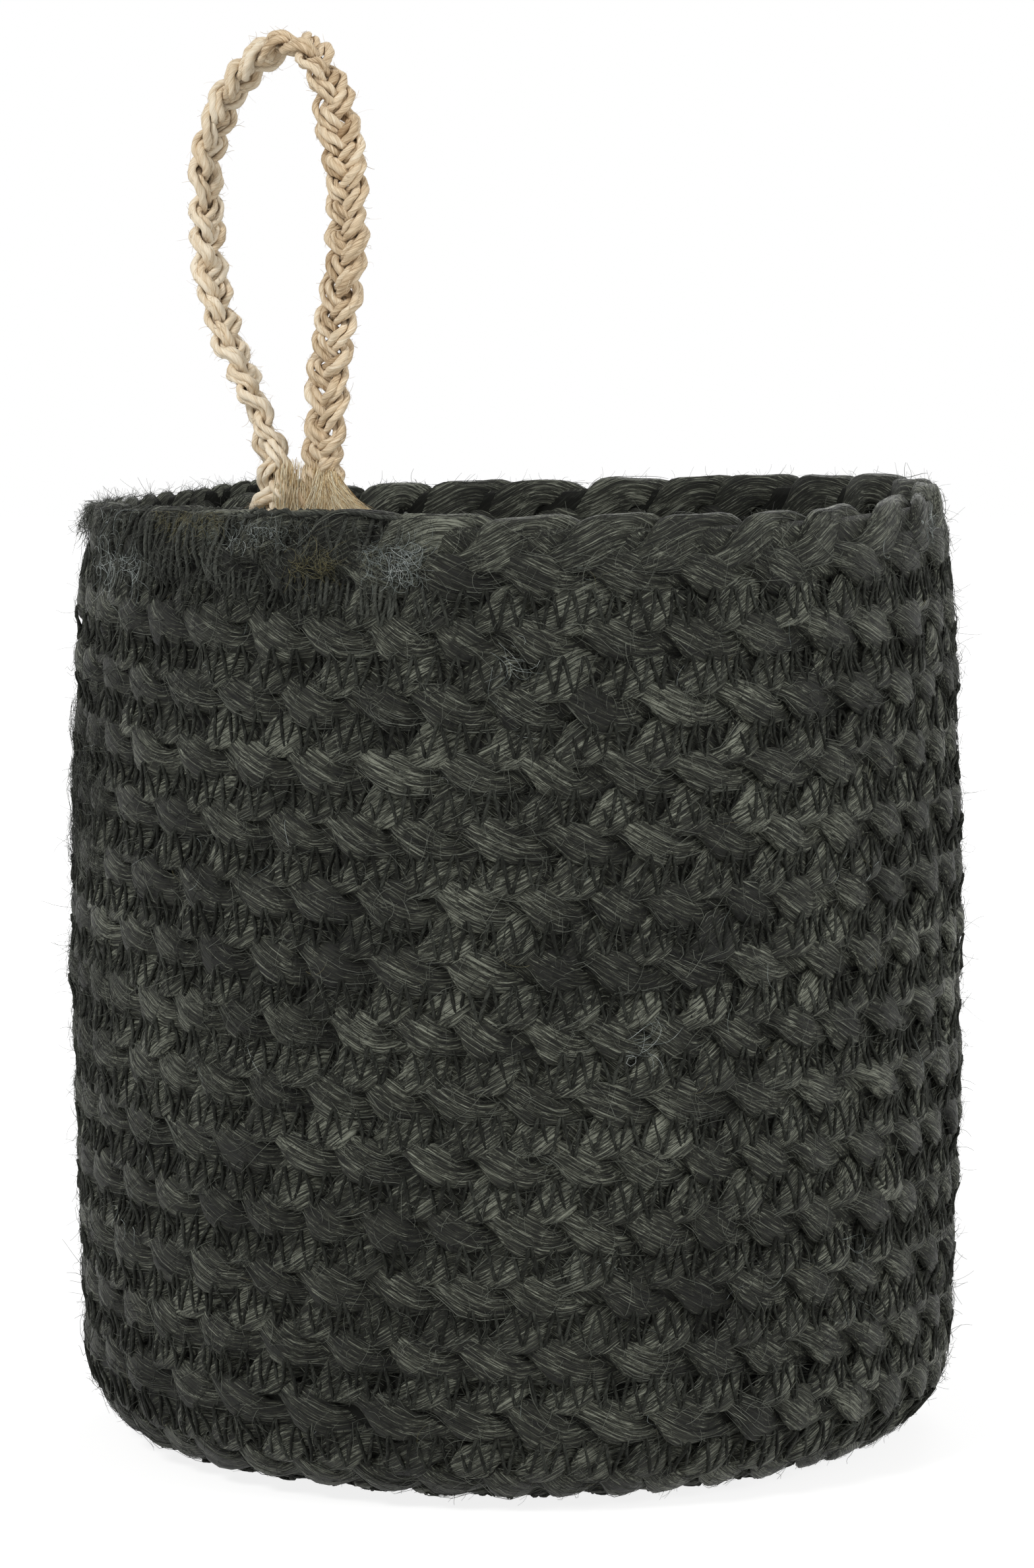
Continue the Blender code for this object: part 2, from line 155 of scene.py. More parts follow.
def noise_columns(place, spacing, columns, generator=rng):
    """Smooth noise in -1..1 along a line, another for each column."""
    x = (place - place.min()) / spacing
    knots = generator.uniform(-1, 1, (int(x.max()) + 3, columns))
    i = x.astype(int)
    return between(knots, i, smoothstep(x - i)[:, None])


def unit(v):
    return v / np.maximum(np.linalg.norm(v, axis=-1, keepdims=True), 1e-12)


def above_floor(points, height):
    points[..., 2] = np.maximum(points[..., 2], height)
    return points


def on_circle(radius, angle, height):
    """Points at winding angles round the axis."""
    return np.stack([-radius * np.sin(angle), -radius * np.cos(angle), height], -1)


class Crowding:
    """How much surface lies near a point: high in the creases between strands, where it sets the painted
    shade.
    """

    def __init__(self, points, weights, cell, rounds):
        self.low, self.cell = points.min(0) - 4 * cell, cell
        size = np.ceil((points.max(0) - self.low) / cell).astype(int) + 5
        index = ((points - self.low) / cell).astype(int)
        flat = np.ravel_multi_index(index.T, size)
        grid = np.bincount(flat, weights, size.prod()).reshape(size).astype(np.float32)
        for axis in (0, 1, 2):
            for _ in range(rounds):
                grid = (np.roll(grid, 1, axis) + 2 * grid + np.roll(grid, -1, axis)) / 4
        self.grid = grid

    def at(self, points):
        x = np.clip((points - self.low) / self.cell - 0.5, 0, np.array(self.grid.shape) - 2.001)
        i = x.astype(int)
        f = x - i
        total = 0
        for corner in np.ndindex(2, 2, 2):
            share = np.prod(np.where(corner, f, 1 - f), axis=1)
            total = total + share * self.grid[tuple((i + corner).T)]
        return total


# Meshes made of many tubes
HAIR_SIDES = 3
# Two-ply thread: depth of the groove as a share of its radius, and turns a metre.
PLY_DEPTH, PLY_TURNS = 0.16, 420


def write_values(mesh, name, values):
    mesh.attributes.new(name, "FLOAT", "POINT").data.foreach_set("value", values.astype(np.float32))


class Tubes:
    """Collects tubes (rings of vertices) and makes one mesh of them, with their own bake map."""

    def __init__(self):
        self.points, self.fibre, self.tone, self.shapes = [], [], [], []

    def add(self, rings, fibre, tone):
        """rings is (tubes, rings, sides, 3), fibre the same shape, tone (tubes,) or (tubes, rings)."""
        m, n, s, _ = rings.shape
        tone = np.asarray(tone, float)
        if tone.ndim == 1:
            tone = np.repeat(tone[:, None], n, 1)
        self.points.append(rings.reshape(-1, 3))
        self.fibre.append(fibre.reshape(-1, 3))
        self.tone.append(np.repeat(tone[:, :, None], s, 2).reshape(-1))
        self.shapes.append((m, n, s))

    def add_hairs(self, path, radius, taper, tone, generator=rng, tone_change=0.0):
        """Fine hairs along paths (tubes, rings, 3). radius, in mm, and tone are ranges."""
        n = len(path)
        radius = generator.uniform(*radius, n)[:, None] * MM * taper
        made = round_tubes(path, radius, HAIR_SIDES, seed=generator.uniform(0, 9, n))
        self.add(*made, generator.uniform(*tone, n) + tone_change)

    def take(self, others):
        for other in others:
            self.points += other.points
            self.fibre += other.fibre
            self.tone += other.tone
            self.shapes += other.shapes
        return self

    def add_thread(self, path, radius, sides, lead, seed, tone):
        """Twisted two-ply thread along paths (tubes, rings, 3)."""
        self.add(*round_tubes(path, radius, sides, lead, PLY_DEPTH, PLY_TURNS, seed), tone)

    def mesh(self, name):
        base, loops, totals, bake = 0, [], [], []
        strips = sum(m * (n - 1) * s for m, n, s in self.shapes)
        row_quads = max(64, int(math.sqrt(strips * 6)))
        row = 0
        for m, n, s in self.shapes:
            index = base + np.arange(m * n * s).reshape(m, n, s)
            after = np.roll(index, -1, axis=2)
            quads = np.stack([index[:, :-1], after[:, :-1], after[:, 1:], index[:, 1:]], -1)
            loops.append(quads.reshape(-1))
            totals.append(np.full(m * (n - 1) * s, 4))
            # Bake map: each stretch of tube is a flat strip, and the strips fill rows.
            tube, ring, side = np.meshgrid(np.arange(m), np.arange(n - 1), np.arange(s), indexing="ij")
            length = min(n - 1, row_quads)
            stretches, per_row = math.ceil((n - 1) / length), row_quads // length
            strip = tube * stretches + ring // length
            x = strip % per_row * (length + 1) + ring % length
            y = row + strip // per_row * (s + 1) + side
            row += math.ceil(m * stretches / per_row) * (s + 1)
            corners = [np.stack([x + dx, y + dy], -1) for dx, dy in ((0, 0), (0, 1), (1, 1), (1, 0))]
            bake.append(np.stack(corners, -2).reshape(-1, 2))
            ends = np.concatenate([index[:, 0, ::-1], index[:, -1]], 0)
            loops.append(ends.reshape(-1))
            totals.append(np.full(2 * m, s))
            place = np.stack([x[:, 0], y[:, 0]], -1)
            last = np.stack([x[:, -1] + 1, y[:, -1]], -1)
            bake.append(np.concatenate([place[:, ::-1], last], 0).reshape(-1, 2))
            base += m * n * s
        points = np.concatenate(self.points).astype(np.float32)
        loops, totals = (np.concatenate(values).astype(np.int32) for values in (loops, totals))
        starts = np.concatenate([[0], np.cumsum(totals)[:-1]]).astype(np.int32)
        mesh = bpy.data.meshes.new(name)
        mesh.vertices.add(len(points))
        mesh.vertices.foreach_set("co", points.ravel())
        mesh.loops.add(len(loops))
        mesh.loops.foreach_set("vertex_index", loops)
        mesh.polygons.add(len(totals))
        mesh.polygons.foreach_set("loop_start", starts)
        mesh.polygons.foreach_set("use_smooth", np.ones(len(totals), bool))
        mesh.update(calc_edges=True)
        fibre = mesh.attributes.new("fibre", "FLOAT_VECTOR", "POINT").data
        fibre.foreach_set("vector", np.concatenate(self.fibre).astype(np.float32).ravel())
        write_values(mesh, "tone", np.concatenate(self.tone))
        uv = mesh.uv_layers.new(name="OFBake")
        flat = np.concatenate(bake).astype(np.float64)
        flat /= np.array([max(flat[:, 0].max(), 1), max(row, 1)])
        uv.uv.foreach_set("vector", flat.astype(np.float32).ravel())
        return mesh


def paint_crease_shade(mesh, crowding, reach, low, high):
    """Writes a painted-shade attribute: 0 on open skin, 1 deep between strands, where the colour is
    darkened as shade.
    """
    places, normals = np.empty(len(mesh.vertices) * 3), np.empty(len(mesh.vertices) * 3)
    mesh.vertices.foreach_get("co", places)
    mesh.vertex_normals.foreach_get("vector", normals)
    near = crowding.at(places.reshape(-1, 3) + normals.reshape(-1, 3) * reach)
    write_values(mesh, "painted_crease_shade", smoothstep((near - low) / (high - low)))


def new_object(name, data):
    obj = bpy.data.objects.new(name, data)
    bpy.context.scene.collection.objects.link(obj)
    return obj


def make_piece(name, tubes, material, body="basket"):
    obj = new_object(name, tubes.mesh(name))
    obj.data.materials.append(material)
    if body:
        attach(obj, body)
    return obj


def tube_frames(path, lead=None):
    """Side and top directions along paths (tubes, rings, 3). lead is roughly the top direction."""
    along = unit(np.gradient(path, axis=1))
    if lead is None:
        mean = np.abs(unit(path[:, -1] - path[:, 0]))
        lead = np.zeros_like(mean)
        lead[np.arange(len(mean)), mean.argmin(1)] = 1
        lead = np.repeat(lead[:, None], path.shape[1], 1)
    top = unit(lead - (lead * along).sum(-1, keepdims=True) * along)
    return np.cross(top, along), top


def round_tubes(path, radius, sides, lead=None, lobes=0.0, twist=0.0, seed=0.0):
    """Rings and fibre coordinates. lobes makes a two-ply thread, twist is its turns a metre."""
    m, n, _ = path.shape
    side, top = tube_frames(path, lead)
    step = np.linalg.norm(np.diff(path, axis=1), axis=-1)
    run = np.concatenate([np.zeros((m, 1)), np.cumsum(step, 1)], 1)
    around = np.arange(sides) / sides * TURN
    radius = np.broadcast_to(np.asarray(radius, float), (m, n))[:, :, None]
    turn = around[None, None] - (run * twist * TURN)[:, :, None]
    size = radius * (1 + lobes * np.cos(2 * turn))
    ca, sa = np.cos(around), np.sin(around)
    rings = (path[:, :, None] + side[:, :, None] * (size * ca)[..., None]
             + top[:, :, None] * (size * sa)[..., None])
    offset = np.broadcast_to(np.asarray(seed, float), (m,))[:, None, None]
    fibre = np.stack(np.broadcast_arrays(
        radius * np.cos(turn), radius * np.sin(turn), run[:, :, None] * 0.06 + offset), -1)
    return rings, fibre


# The black plait
OVERLAP = 3.3 * MM
TILT = 0.12
RING_STEP = 1.25 * MM
STRAND_SIDES = 36
SKIN_SHIFT = 0.7 * MM
# Shares of the plait's width: a strand's sway and depth, its least half width and half thickness
PLAIT_SWAY, PLAIT_DEPTH, LEAST_HALF_WIDTH, HALF_THICKNESS = 0.315, 0.095, 0.190, 0.126
# Fibre packed behind the strands, shares of the plait's width.
PACKING_PLACE, PACKING_HALF, PACKING_RISE = 0.20, 0.24, 1.1 * MM
# A strand comes to the front this much after its turn, as an angle of its wave.
LATE = 0.38

table_angle = np.arange(START_ANGLE, TAIL_ANGLE, math.radians(0.25))
table_edges = row_edges(table_angle)
table_middle = (table_edges[0] + table_edges[1]) / 2
table_radius = np.maximum(meridian(table_middle)[0], 2 * MM)
table_run = np.concatenate([[0], np.cumsum((table_radius[1:] + table_radius[:-1]) / 2
                                           * np.diff(table_angle))])
RUN_END = table_run[-1]


def plait_shape(angle):
    """Middle, full width, thickness share, wall share and rim share of the plait."""
    lower, upper, share, rim = row_edges(angle)
    middle = (lower + upper) / 2
    wall = smoothstep((middle - BASE_FLAT_RADIUS) / CORNER_LENGTH)
    low = lower + (0.9 * wall - 0.2) * MM * share
    high = upper + OVERLAP * (0.12 + 0.88 * wall) * (1 - rim) - 1.0 * MM * rim
    width = high - low
    return low + (0.5 - 0.05 * wall) * width, width, share, wall, rim


def plait_noise(spacing):
    """Smooth noise along the black plait, in -1..1."""
    return noise_columns(run, spacing, 1)[:, 0]


run = np.arange(0, RUN_END, RING_STEP)
angle = np.interp(run, table_run, table_angle)
centre, full, share, wall, rim = plait_shape(angle)
period = full * (2.32 + 0.40 * wall + 0.95 * rim) * (1 + 0.14 * plait_noise(0.030))
phase = np.cumsum(RING_STEP * TURN / period)
# The end of the tail is rounded off.
tail_end = np.sqrt(np.clip((RUN_END - run) / (9 * MM), 0.01, 1))
full = full * tail_end
belly_sway = 0.35 * MM * plait_noise(0.09)
tilt = TILT * wall * (1 - 0.6 * rim)

strands = []
for number in range(3):
    t = phase + TURN * number / 3 + 0.28 * plait_noise(0.015)
    across = PLAIT_SWAY * full * (1 + 0.11 * plait_noise(0.012))
    crossing = (1 - np.cos(4 * t)) / 2
    front = np.clip(-np.sin(2 * t), 0, 1)
    dive = np.cos(t) ** 2
    half_width = full * (LEAST_HALF_WIDTH + 0.02 * rim + (0.125 + 0.022 * wall) * crossing - 0.035 * dive)
    half_width = half_width * (1 + 0.17 * plait_noise(0.009))
    half_width = half_width * (1 - wall * (0.04 - 0.05 * np.sin(t)))
    half_thick = full * (HALF_THICKNESS - 0.010 * wall - 0.025 * crossing) * share
    half_thick = half_thick * (1 + 0.15 * plait_noise(0.010))
    swing = np.sin(t) - 0.08 * wall * np.sin(3 * t)
    u = across * swing * (1 + 0.08 * wall * np.sin(t)) + belly_sway
    v = -PLAIT_DEPTH * full * share * np.sin(2 * t - LATE * wall) - tilt * u
    v = v + 0.42 * MM * plait_noise(0.013) * wall
    v = v + (0.2 * MM * front + SKIN_SHIFT) * wall
    path = surface(angle, centre + u, v)
    along = unit(np.gradient(path, axis=0))
    top = outward_at(angle, centre + u, tilt)
    top = unit(top - (top * along).sum(-1, keepdims=True) * along)
    side = np.cross(along, top)
    slope = np.gradient(u, RING_STEP)
    # Nothing uses this draw any more. It keeps the order of the draws after it.
    rng.uniform(-1, 1)
    strands.append(dict(
        wave=t, up=u, out=v, half_width=half_width, half_thick=half_thick, path=path, along=along,
        top=top, side=side, wide=half_width * np.sqrt(1 + slope ** 2)))


def skin_out(place, length, outer=True):
    """How far out the plait's face is, at a distance along the winding and a meridian length."""
    x = np.clip(np.asarray(place) / RING_STEP, 0, len(run) - 1.001)
    i = x.astype(int)

    def at(values):
        return between(values, i, x - i)

    u = length - at(centre)
    lean_back = at(tilt)
    further = np.maximum if outer else np.minimum
    best = None
    for s in strands:
        apart = (u - at(s["up"])) / at(s["wide"])
        rise = at(s["half_thick"]) * np.sqrt(np.clip(1 - apart ** 2, 0, 1))
        far = np.where(np.abs(apart) < 1, 0.0, 3 * MM * (np.abs(apart) - 1) + 0.4 * MM)
        face = at(s["out"]) - lean_back * (u - at(s["up"]))
        value = face + rise - far if outer else face - rise + far
        best = value if best is None else further(best, value)
    if outer:
        apart = (u - PACKING_PLACE * at(full)) / (PACKING_HALF * at(full))
        face = (PACKING_RISE + 0.045 * at(full)) * at(wall) - lean_back * u
        best = np.maximum(best, np.where(np.abs(apart) < 1, face, -1.0))
    return best


def run_at(angles):
    return np.interp(angles, table_angle, table_run)


def section(around):
    """A strand's section: fuller than an ellipse, as the fibres lie in a flat bundle."""
    c, w = np.cos(around), np.sin(around)
    return np.sign(c) * np.abs(c) ** 0.8, np.sign(w) * np.abs(w) ** 0.75


def strand_rings(s):
    """Rings of one strand, with ridges along its fibres."""
    flat_x, flat_y = section(np.arange(STRAND_SIDES) / STRAND_SIDES * TURN)
    x = s["half_width"][:, None] * flat_x * s["ridge"]
    y = s["half_thick"][:, None] * flat_y * s["ridge"]
    rings = s["path"][:, None] + s["side"][:, None] * x[..., None] + s["top"][:, None] * y[..., None]
    along = np.broadcast_to((run * 0.03 + s["offset"])[:, None], x.shape)
    return above_floor(rings, 0.25 * MM)[None], np.stack([x, y, along], -1)[None]


for number, s in enumerate(strands):
    fine = noise_columns(run, 0.010, STRAND_SIDES)
    coarse = noise_columns(run, 0.014, STRAND_SIDES // 3).repeat(3, 1)
    s["ridge"] = 1 + 0.06 * fine + 0.05 * np.roll(coarse, number, 1)
    s["offset"] = 3.7 * number
    # The half of each row under the seam is a little paler than its outer edge.
    s["tones"] = 0.6 * plait_noise(0.014) + 0.4 * plait_noise(0.05)
    # The rim row is painted darker: painted shade that takes back some of the key light falling on it.
    s["tones"] = s["tones"] + 0.55 * wall * np.sin(s["wave"]) - 0.3 * rim


# Materials
def nodes_of(name):
    material = bpy.data.materials.new(name)
    material.use_nodes = True
    tree = material.node_tree
    return material, tree, tree.nodes["Principled BSDF"]


def node(tree, kind, inputs=None, **settings):
    """A new node. Its inputs are numbers, colours or the outputs of other nodes."""
    made = tree.nodes.new(kind)
    for key, value in settings.items():
        setattr(made, key, value)
    set_inputs(tree, made, inputs or {})
    return made


def set_inputs(tree, made, inputs):
    for key, value in inputs.items():
        if isinstance(value, (int, float)):
            made.inputs[key].default_value = value
        elif isinstance(value, tuple):
            made.inputs[key].default_value = (*value, 1)
        else:
            tree.links.new(value, made.inputs[key])


def attribute(tree, name, output="Fac"):
    return node(tree, "ShaderNodeAttribute", attribute_name=name).outputs[output]


def noise_node(tree, vector, scale, detail=2.0, rough=0.5):
    inputs = {"Vector": vector, "Scale": scale, "Detail": detail, "Roughness": rough}
    return node(tree, "ShaderNodeTexNoise", inputs).outputs["Fac"]


def ramp_node(tree, factor, stops):
    made = node(tree, "ShaderNodeValToRGB")
    ramp = made.color_ramp
    while len(ramp.elements) < len(stops):
        ramp.elements.new(0.5)
    for element, (place, colour) in zip(ramp.elements, stops):
        element.position = place
        element.color = (*colour, 1)
    tree.links.new(factor, made.inputs["Fac"])
    return made.outputs["Color"]


def math_node(tree, operation, a, b):
    return node(tree, "ShaderNodeMath", {0: a, 1: b}, operation=operation).outputs["Value"]


def mix_shaders(tree, share, first, second, output):
    """Sends two shaders, mixed by share, to the tree's output."""
    mixer = node(tree, "ShaderNodeMixShader", {0: share, 1: first.outputs[0], 2: second.outputs[0]})
    tree.links.new(mixer.outputs[0], tree.nodes[output].inputs["Surface"])


TONE_AMOUNT, CLOUD_SCALE, CLOUD_AMOUNT = 0.09, 45, 0.16
SHEEN_ROUGHNESS, BUMP_DISTANCE = 0.45, 0.20 * MM


def fibre_material(name, stops, roughness, sheen, tint, bump, streak=5200, tone_amount=0.5,
                   specular=0.4, crease_shade_colour=None, broad_share=0.28):
    """Jute: fine streaks along the fibres, slow changes of tone, a soft sheen, and painted shade in the
    creases when a crease colour is given.
    """
    material, tree, shader = nodes_of(name)
    fibre, tone = attribute(tree, "fibre", "Vector"), attribute(tree, "tone")
    fine = noise_node(tree, fibre, streak, 4.0, 0.75)
    broad = noise_node(tree, fibre, streak * 0.42)
    cloud = noise_node(tree, node(tree, "ShaderNodeTexCoord").outputs["Object"], CLOUD_SCALE)
    cloud = math_node(tree, "SUBTRACT", cloud, 0.5)
    mixed = math_node(tree, "MULTIPLY", fine, 1 - broad_share)
    for part, amount in ((broad, broad_share), (tone, TONE_AMOUNT * tone_amount), (cloud, CLOUD_AMOUNT)):
        mixed = math_node(tree, "ADD", mixed, math_node(tree, "MULTIPLY", part, amount))
    colour = ramp_node(tree, mixed, stops)
    # Painted shade: the colour is darkened where the strands crowd, in the creases between them.
    if crease_shade_colour:
        colours = {"Factor": attribute(tree, "painted_crease_shade"), 6: colour, 7: crease_shade_colour}
        colour = node(tree, "ShaderNodeMix", colours, data_type="RGBA", blend_type="MULTIPLY").outputs[2]
    raised = node(tree, "ShaderNodeBump", {"Strength": bump, "Distance": BUMP_DISTANCE, "Height": fine})
    set_inputs(tree, shader, {
        "Base Color": colour, "Roughness": roughness, "Specular IOR Level": specular,
        "Sheen Weight": sheen, "Sheen Roughness": SHEEN_ROUGHNESS, "Sheen Tint": tint,
        "Normal": raised.outputs["Normal"]})
    return material


GREY_SHEEN, STRAW_SHEEN = (0.5, 0.5, 0.5), (0.95, 0.85, 0.7)
BLACK_STOPS = ((0.395, (0.001, 0.0011, 0.0007)), (0.465, (0.0105, 0.0112, 0.0076)),
               (0.53, (0.040, 0.0425, 0.0310)), (0.60, (0.26, 0.2730, 0.218)))
HAIR_STOPS = ((0.38, (0.003, 0.0033, 0.0023)), (0.50, (0.024, 0.0262, 0.0195)),
              (0.64, (0.14, 0.149, 0.125)))
THREAD_STOPS = ((0.38, (0.006, 0.0063, 0.0052)), (0.5, (0.017, 0.0182, 0.0148)),
                (0.64, (0.06, 0.064, 0.054)))
STITCH_STOPS = ((0.37, (0.004, 0.0043, 0.0035)), (0.5, (0.023, 0.0247, 0.0205)),
                (0.64, (0.095, 0.101, 0.086)))
NATURAL_STOPS = ((0.36, (0.34, 0.22, 0.115)), (0.45, (0.60, 0.455, 0.29)),
                 (0.54, (0.78, 0.625, 0.43)), (0.66, (0.97, 0.86, 0.68)))
COMBED_STOPS = ((0.36, (0.26, 0.15, 0.055)), (0.46, (0.66, 0.47, 0.235)),
                (0.55, (0.90, 0.71, 0.42)), (0.66, (0.99, 0.92, 0.70)))
PALE_STOPS = ((0.38, (0.13, 0.115, 0.045)), (0.48, (0.10, 0.105, 0.08)),
              (0.58, (0.16, 0.195, 0.19)), (0.72, (0.62, 0.67, 0.64)))
black_jute = fibre_material(
    "black_jute_fibre", BLACK_STOPS, 0.48, 0.05, (0.6, 0.62, 0.56), 1.0, streak=9500,
    tone_amount=0.42, specular=0.22, crease_shade_colour=(0.2, 0.2, 0.19), broad_share=0.42)
black_hair = fibre_material(
    "black_jute_hair", HAIR_STOPS, 0.55, 0.05, GREY_SHEEN, 0.0, tone_amount=0.9, specular=0.22)
black_thread = fibre_material(
    "black_sewing_thread", THREAD_STOPS, 0.7, 0.06, GREY_SHEEN, 0.4, specular=0.08)
black_stitch = fibre_material(
    "black_binding_stitch", STITCH_STOPS, 0.65, 0.08, GREY_SHEEN, 0.6, streak=7500, specular=0.12)
natural_jute = fibre_material(
    "natural_jute_yarn", NATURAL_STOPS, 0.72, 0.18, STRAW_SHEEN, 0.5, streak=6500,
    tone_amount=0.7, specular=0.3, crease_shade_colour=(0.28, 0.19, 0.11))
combed_jute = fibre_material(
    "combed_jute_fibre", COMBED_STOPS, 0.65, 0.05, STRAW_SHEEN, 0.2, streak=6500,
    tone_amount=0.8, specular=0.3)
pale_hair = fibre_material("pale_stray_fibre", PALE_STOPS, 0.6, 0.1, (0.9, 0.9, 0.9), 0.0)


# The plait's pieces
WALL_PIECES, TURN_STEPS = 6, 24
# Crowding levels where the painted crease shade begins and where it is full.
PLAIT_SHADE_FROM, PLAIT_SHADE_TO = 0.115, 0.25


def index_at(turn_angle):
    return int(np.clip(np.searchsorted(angle, turn_angle), 0, len(run) - 1))


def corner_end():
    """The winding angle where the corner ends, at a whole step of a turn."""
    turns = (CORNER_HEIGHT - TOP_SEAM_HEIGHT) / ROW_PITCH
    return math.ceil(turns * TURN_STEPS) * TURN / TURN_STEPS


cuts = [0, index_at(BASE_END_ANGLE), index_at(corner_end())]
wall_start, wall_rings = cuts[-1], len(run) - 1 - cuts[-1]
cuts += [wall_start + wall_rings * number // WALL_PIECES for number in range(1, WALL_PIECES + 1)]
names = ["base_plait", "corner_plait"] + [f"wall_plait_{n + 1}" for n in range(WALL_PIECES)]
half_way = WALL_PIECES // 2
replaced = ["base_coil", "corner_coil"] + ["lower_wall_coil"] * half_way + ["upper_wall_coil"] * half_way
whole = [strand_rings(s) for s in strands]
skin = np.concatenate([rings[0, ::2, ::2].reshape(-1, 3) for rings, _ in whole])
girths = [(s["half_width"] + s["half_thick"])[::2] for s in strands]
girth = np.concatenate([np.repeat(girth, STRAND_SIDES // 2) for girth in girths])
plait_crowding = Crowding(skin, girth / girth.mean(), 0.6 * MM, 3)
for name, node_name, first, last in zip(names, replaced, cuts, cuts[1:]):
    tubes = Tubes()
    part = slice(first, min(last + 1, len(run)))
    for s, (rings, fibre) in zip(strands, whole):
        tubes.add(rings[:, part], fibre[:, part], s["tones"][None, part])
    piece = make_piece(name, tubes, black_jute)
    # Painted shade in the creases between the strands.
    paint_crease_shade(piece.data, plait_crowding, 1.6 * MM, PLAIT_SHADE_FROM, PLAIT_SHADE_TO)
    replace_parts(piece, node_name)


# What lies under and between the strands
# The core's near-black tone is painted shade for the deep gaps between the rows, where it shows.
CORE_SHADE_TONE, PACKING_TONE = -2.5, -0.6
core, packing = Tubes(), Tubes()
around = np.arange(8) / 8 * TURN
slant = math.radians(38)
for first, last in zip(cuts, cuts[1:]):
    part = slice(first, min(last + 1, len(run)), 2)
    w, f, lean = wall[part][:, None], full[part][:, None], tilt[part][:, None]
    middle = (centre + belly_sway)[part][:, None]
    for tubes, place, half, rise in ((core, 0, 0.40, -0.3 * MM),
                                     (packing, PACKING_PLACE, PACKING_HALF, PACKING_RISE),
                                     (packing, 0.04, 0.40, 0.6 * MM)):
        if tubes is packing and w.mean() < 0.9:
            continue
        # The core is wider in the base and corner, so that no light shows between the rows.
        x = f * (place + (half + 0.24 * (1 - w ** 8)) * np.cos(around))
        y = 0.05 * f * np.sin(around)
        rise = rise * tail_end[part][:, None] + SKIN_SHIFT * w * (rise < 0)
        rings = above_floor(surface(angle[part][:, None], middle + x, y - lean * x + rise), 0.4 * MM)
        place = np.broadcast_to(run[part][:, None], x.shape)
        fibre = np.stack([x * math.cos(slant) - place * math.sin(slant), y,
                          (place * math.cos(slant) + x * math.sin(slant)) * 0.03], -1)
        tubes.add(rings[None], fibre[None], [CORE_SHADE_TONE if tubes is core else PACKING_TONE])
# The start of the plait, pressed flat over the middle of the base.
spread = np.linspace(-1, 1, 15)[:, None]
bulge = np.sqrt(1.001 - spread ** 2)
rings = np.stack([np.broadcast_to(spread, (15, 8)) * 8 * MM, bulge * np.cos(around) * 8 * MM,
                  3 * MM + bulge * np.sin(around) * 1.3 * MM], -1)
core.add(rings[None], rings[None].copy(), [CORE_SHADE_TONE])
make_piece("plait_core", core, black_thread)
packing = make_piece("plait_packing", packing, black_jute)
# Painted shade in the creases over the packing.
paint_crease_shade(packing.data, plait_crowding, 1.2 * MM, PLAIT_SHADE_FROM, 2 * PLAIT_SHADE_TO)


# Sewing thread
THREAD_RADIUS = 0.30 * MM


def taut(out, rounds):
    """Lets the thread bridge hollows of the skin that it lies on."""
    for _ in range(rounds):
        out[:, 1:-1] = np.maximum(out[:, 1:-1], (out[:, :-2] + out[:, 2:]) / 2)
    return out


def blended(values, share):
    """Rows that lead from each value to the next."""
    return values[:-1, None] * (1 - share) + values[1:, None] * share


def zigzag(first_angle, last_angle, outer, leg, rings, top_in, reach):
    """Legs of a zigzag seam over the upper part of the row below, as paths and leads."""
    start, end = run_at(first_angle), run_at(last_angle)
    count = int((end - start) / leg)
    knots = np.cumsum(leg * (1 + 0.22 * rng.uniform(-1, 1, count + 1))) + start
    knots = knots[knots < end]
    angles = np.interp(knots, table_run, table_angle)
    is_top = np.arange(len(knots)) % 2 == 0
    lower = seam_length(angles)
    wallness = smoothstep((lower - BASE_FLAT_RADIUS) / CORNER_LENGTH)
    inset = top_in[0] * (1 - wallness) + top_in[1] * wallness
    depth = reach * (1 + 0.12 * rng.uniform(-1, 1, len(knots)))
    lengths = lower - np.where(is_top, inset, depth)
    share = np.linspace(0, 1, rings)
    a = blended(angles, share)
    length = blended(lengths, share)
    out = skin_out(run_at(a - TURN), length, outer)
    # Outside, a leg's top lies over the edge of the row above.
    out = np.maximum(out, skin_out(run_at(a), length)) if outer else -out
    out = np.minimum(taut(out, 5), 3.9 * MM) + THREAD_RADIUS * 0.45
    ends = np.minimum(share, 1 - share)[None] / 0.12
    top_end = np.where(is_top[:-1, None], share[None] < 0.5, share[None] > 0.5)
    dip = np.clip(1 - ends, 0, 1) ** 1.5
    out = out - dip * np.where(top_end, 1.3 * MM, 0.8 * MM)
    if not outer:
        out = -out
    return above_floor(surface(a, length, out), 0.35 * MM), outward_at(a, length)


def sew(name, first_angle, last_angle, seam, replaced):
    """A stretch of the seam, with its zigzag on the outside and the looser one inside."""
    outside = zigzag(first_angle, last_angle, True, *seam[0])
    inside = zigzag(first_angle, last_angle, False, *seam[1])
    tubes = Tubes()
    for (path, lead), sides in ((outside, 6), (inside, 4)):
        n = len(path)
        tubes.add_thread(path, THREAD_RADIUS, sides, lead, rng.uniform(0, 9, n), rng.uniform(-1, 1, n))
    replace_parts(make_piece(name, tubes, black_thread), replaced)


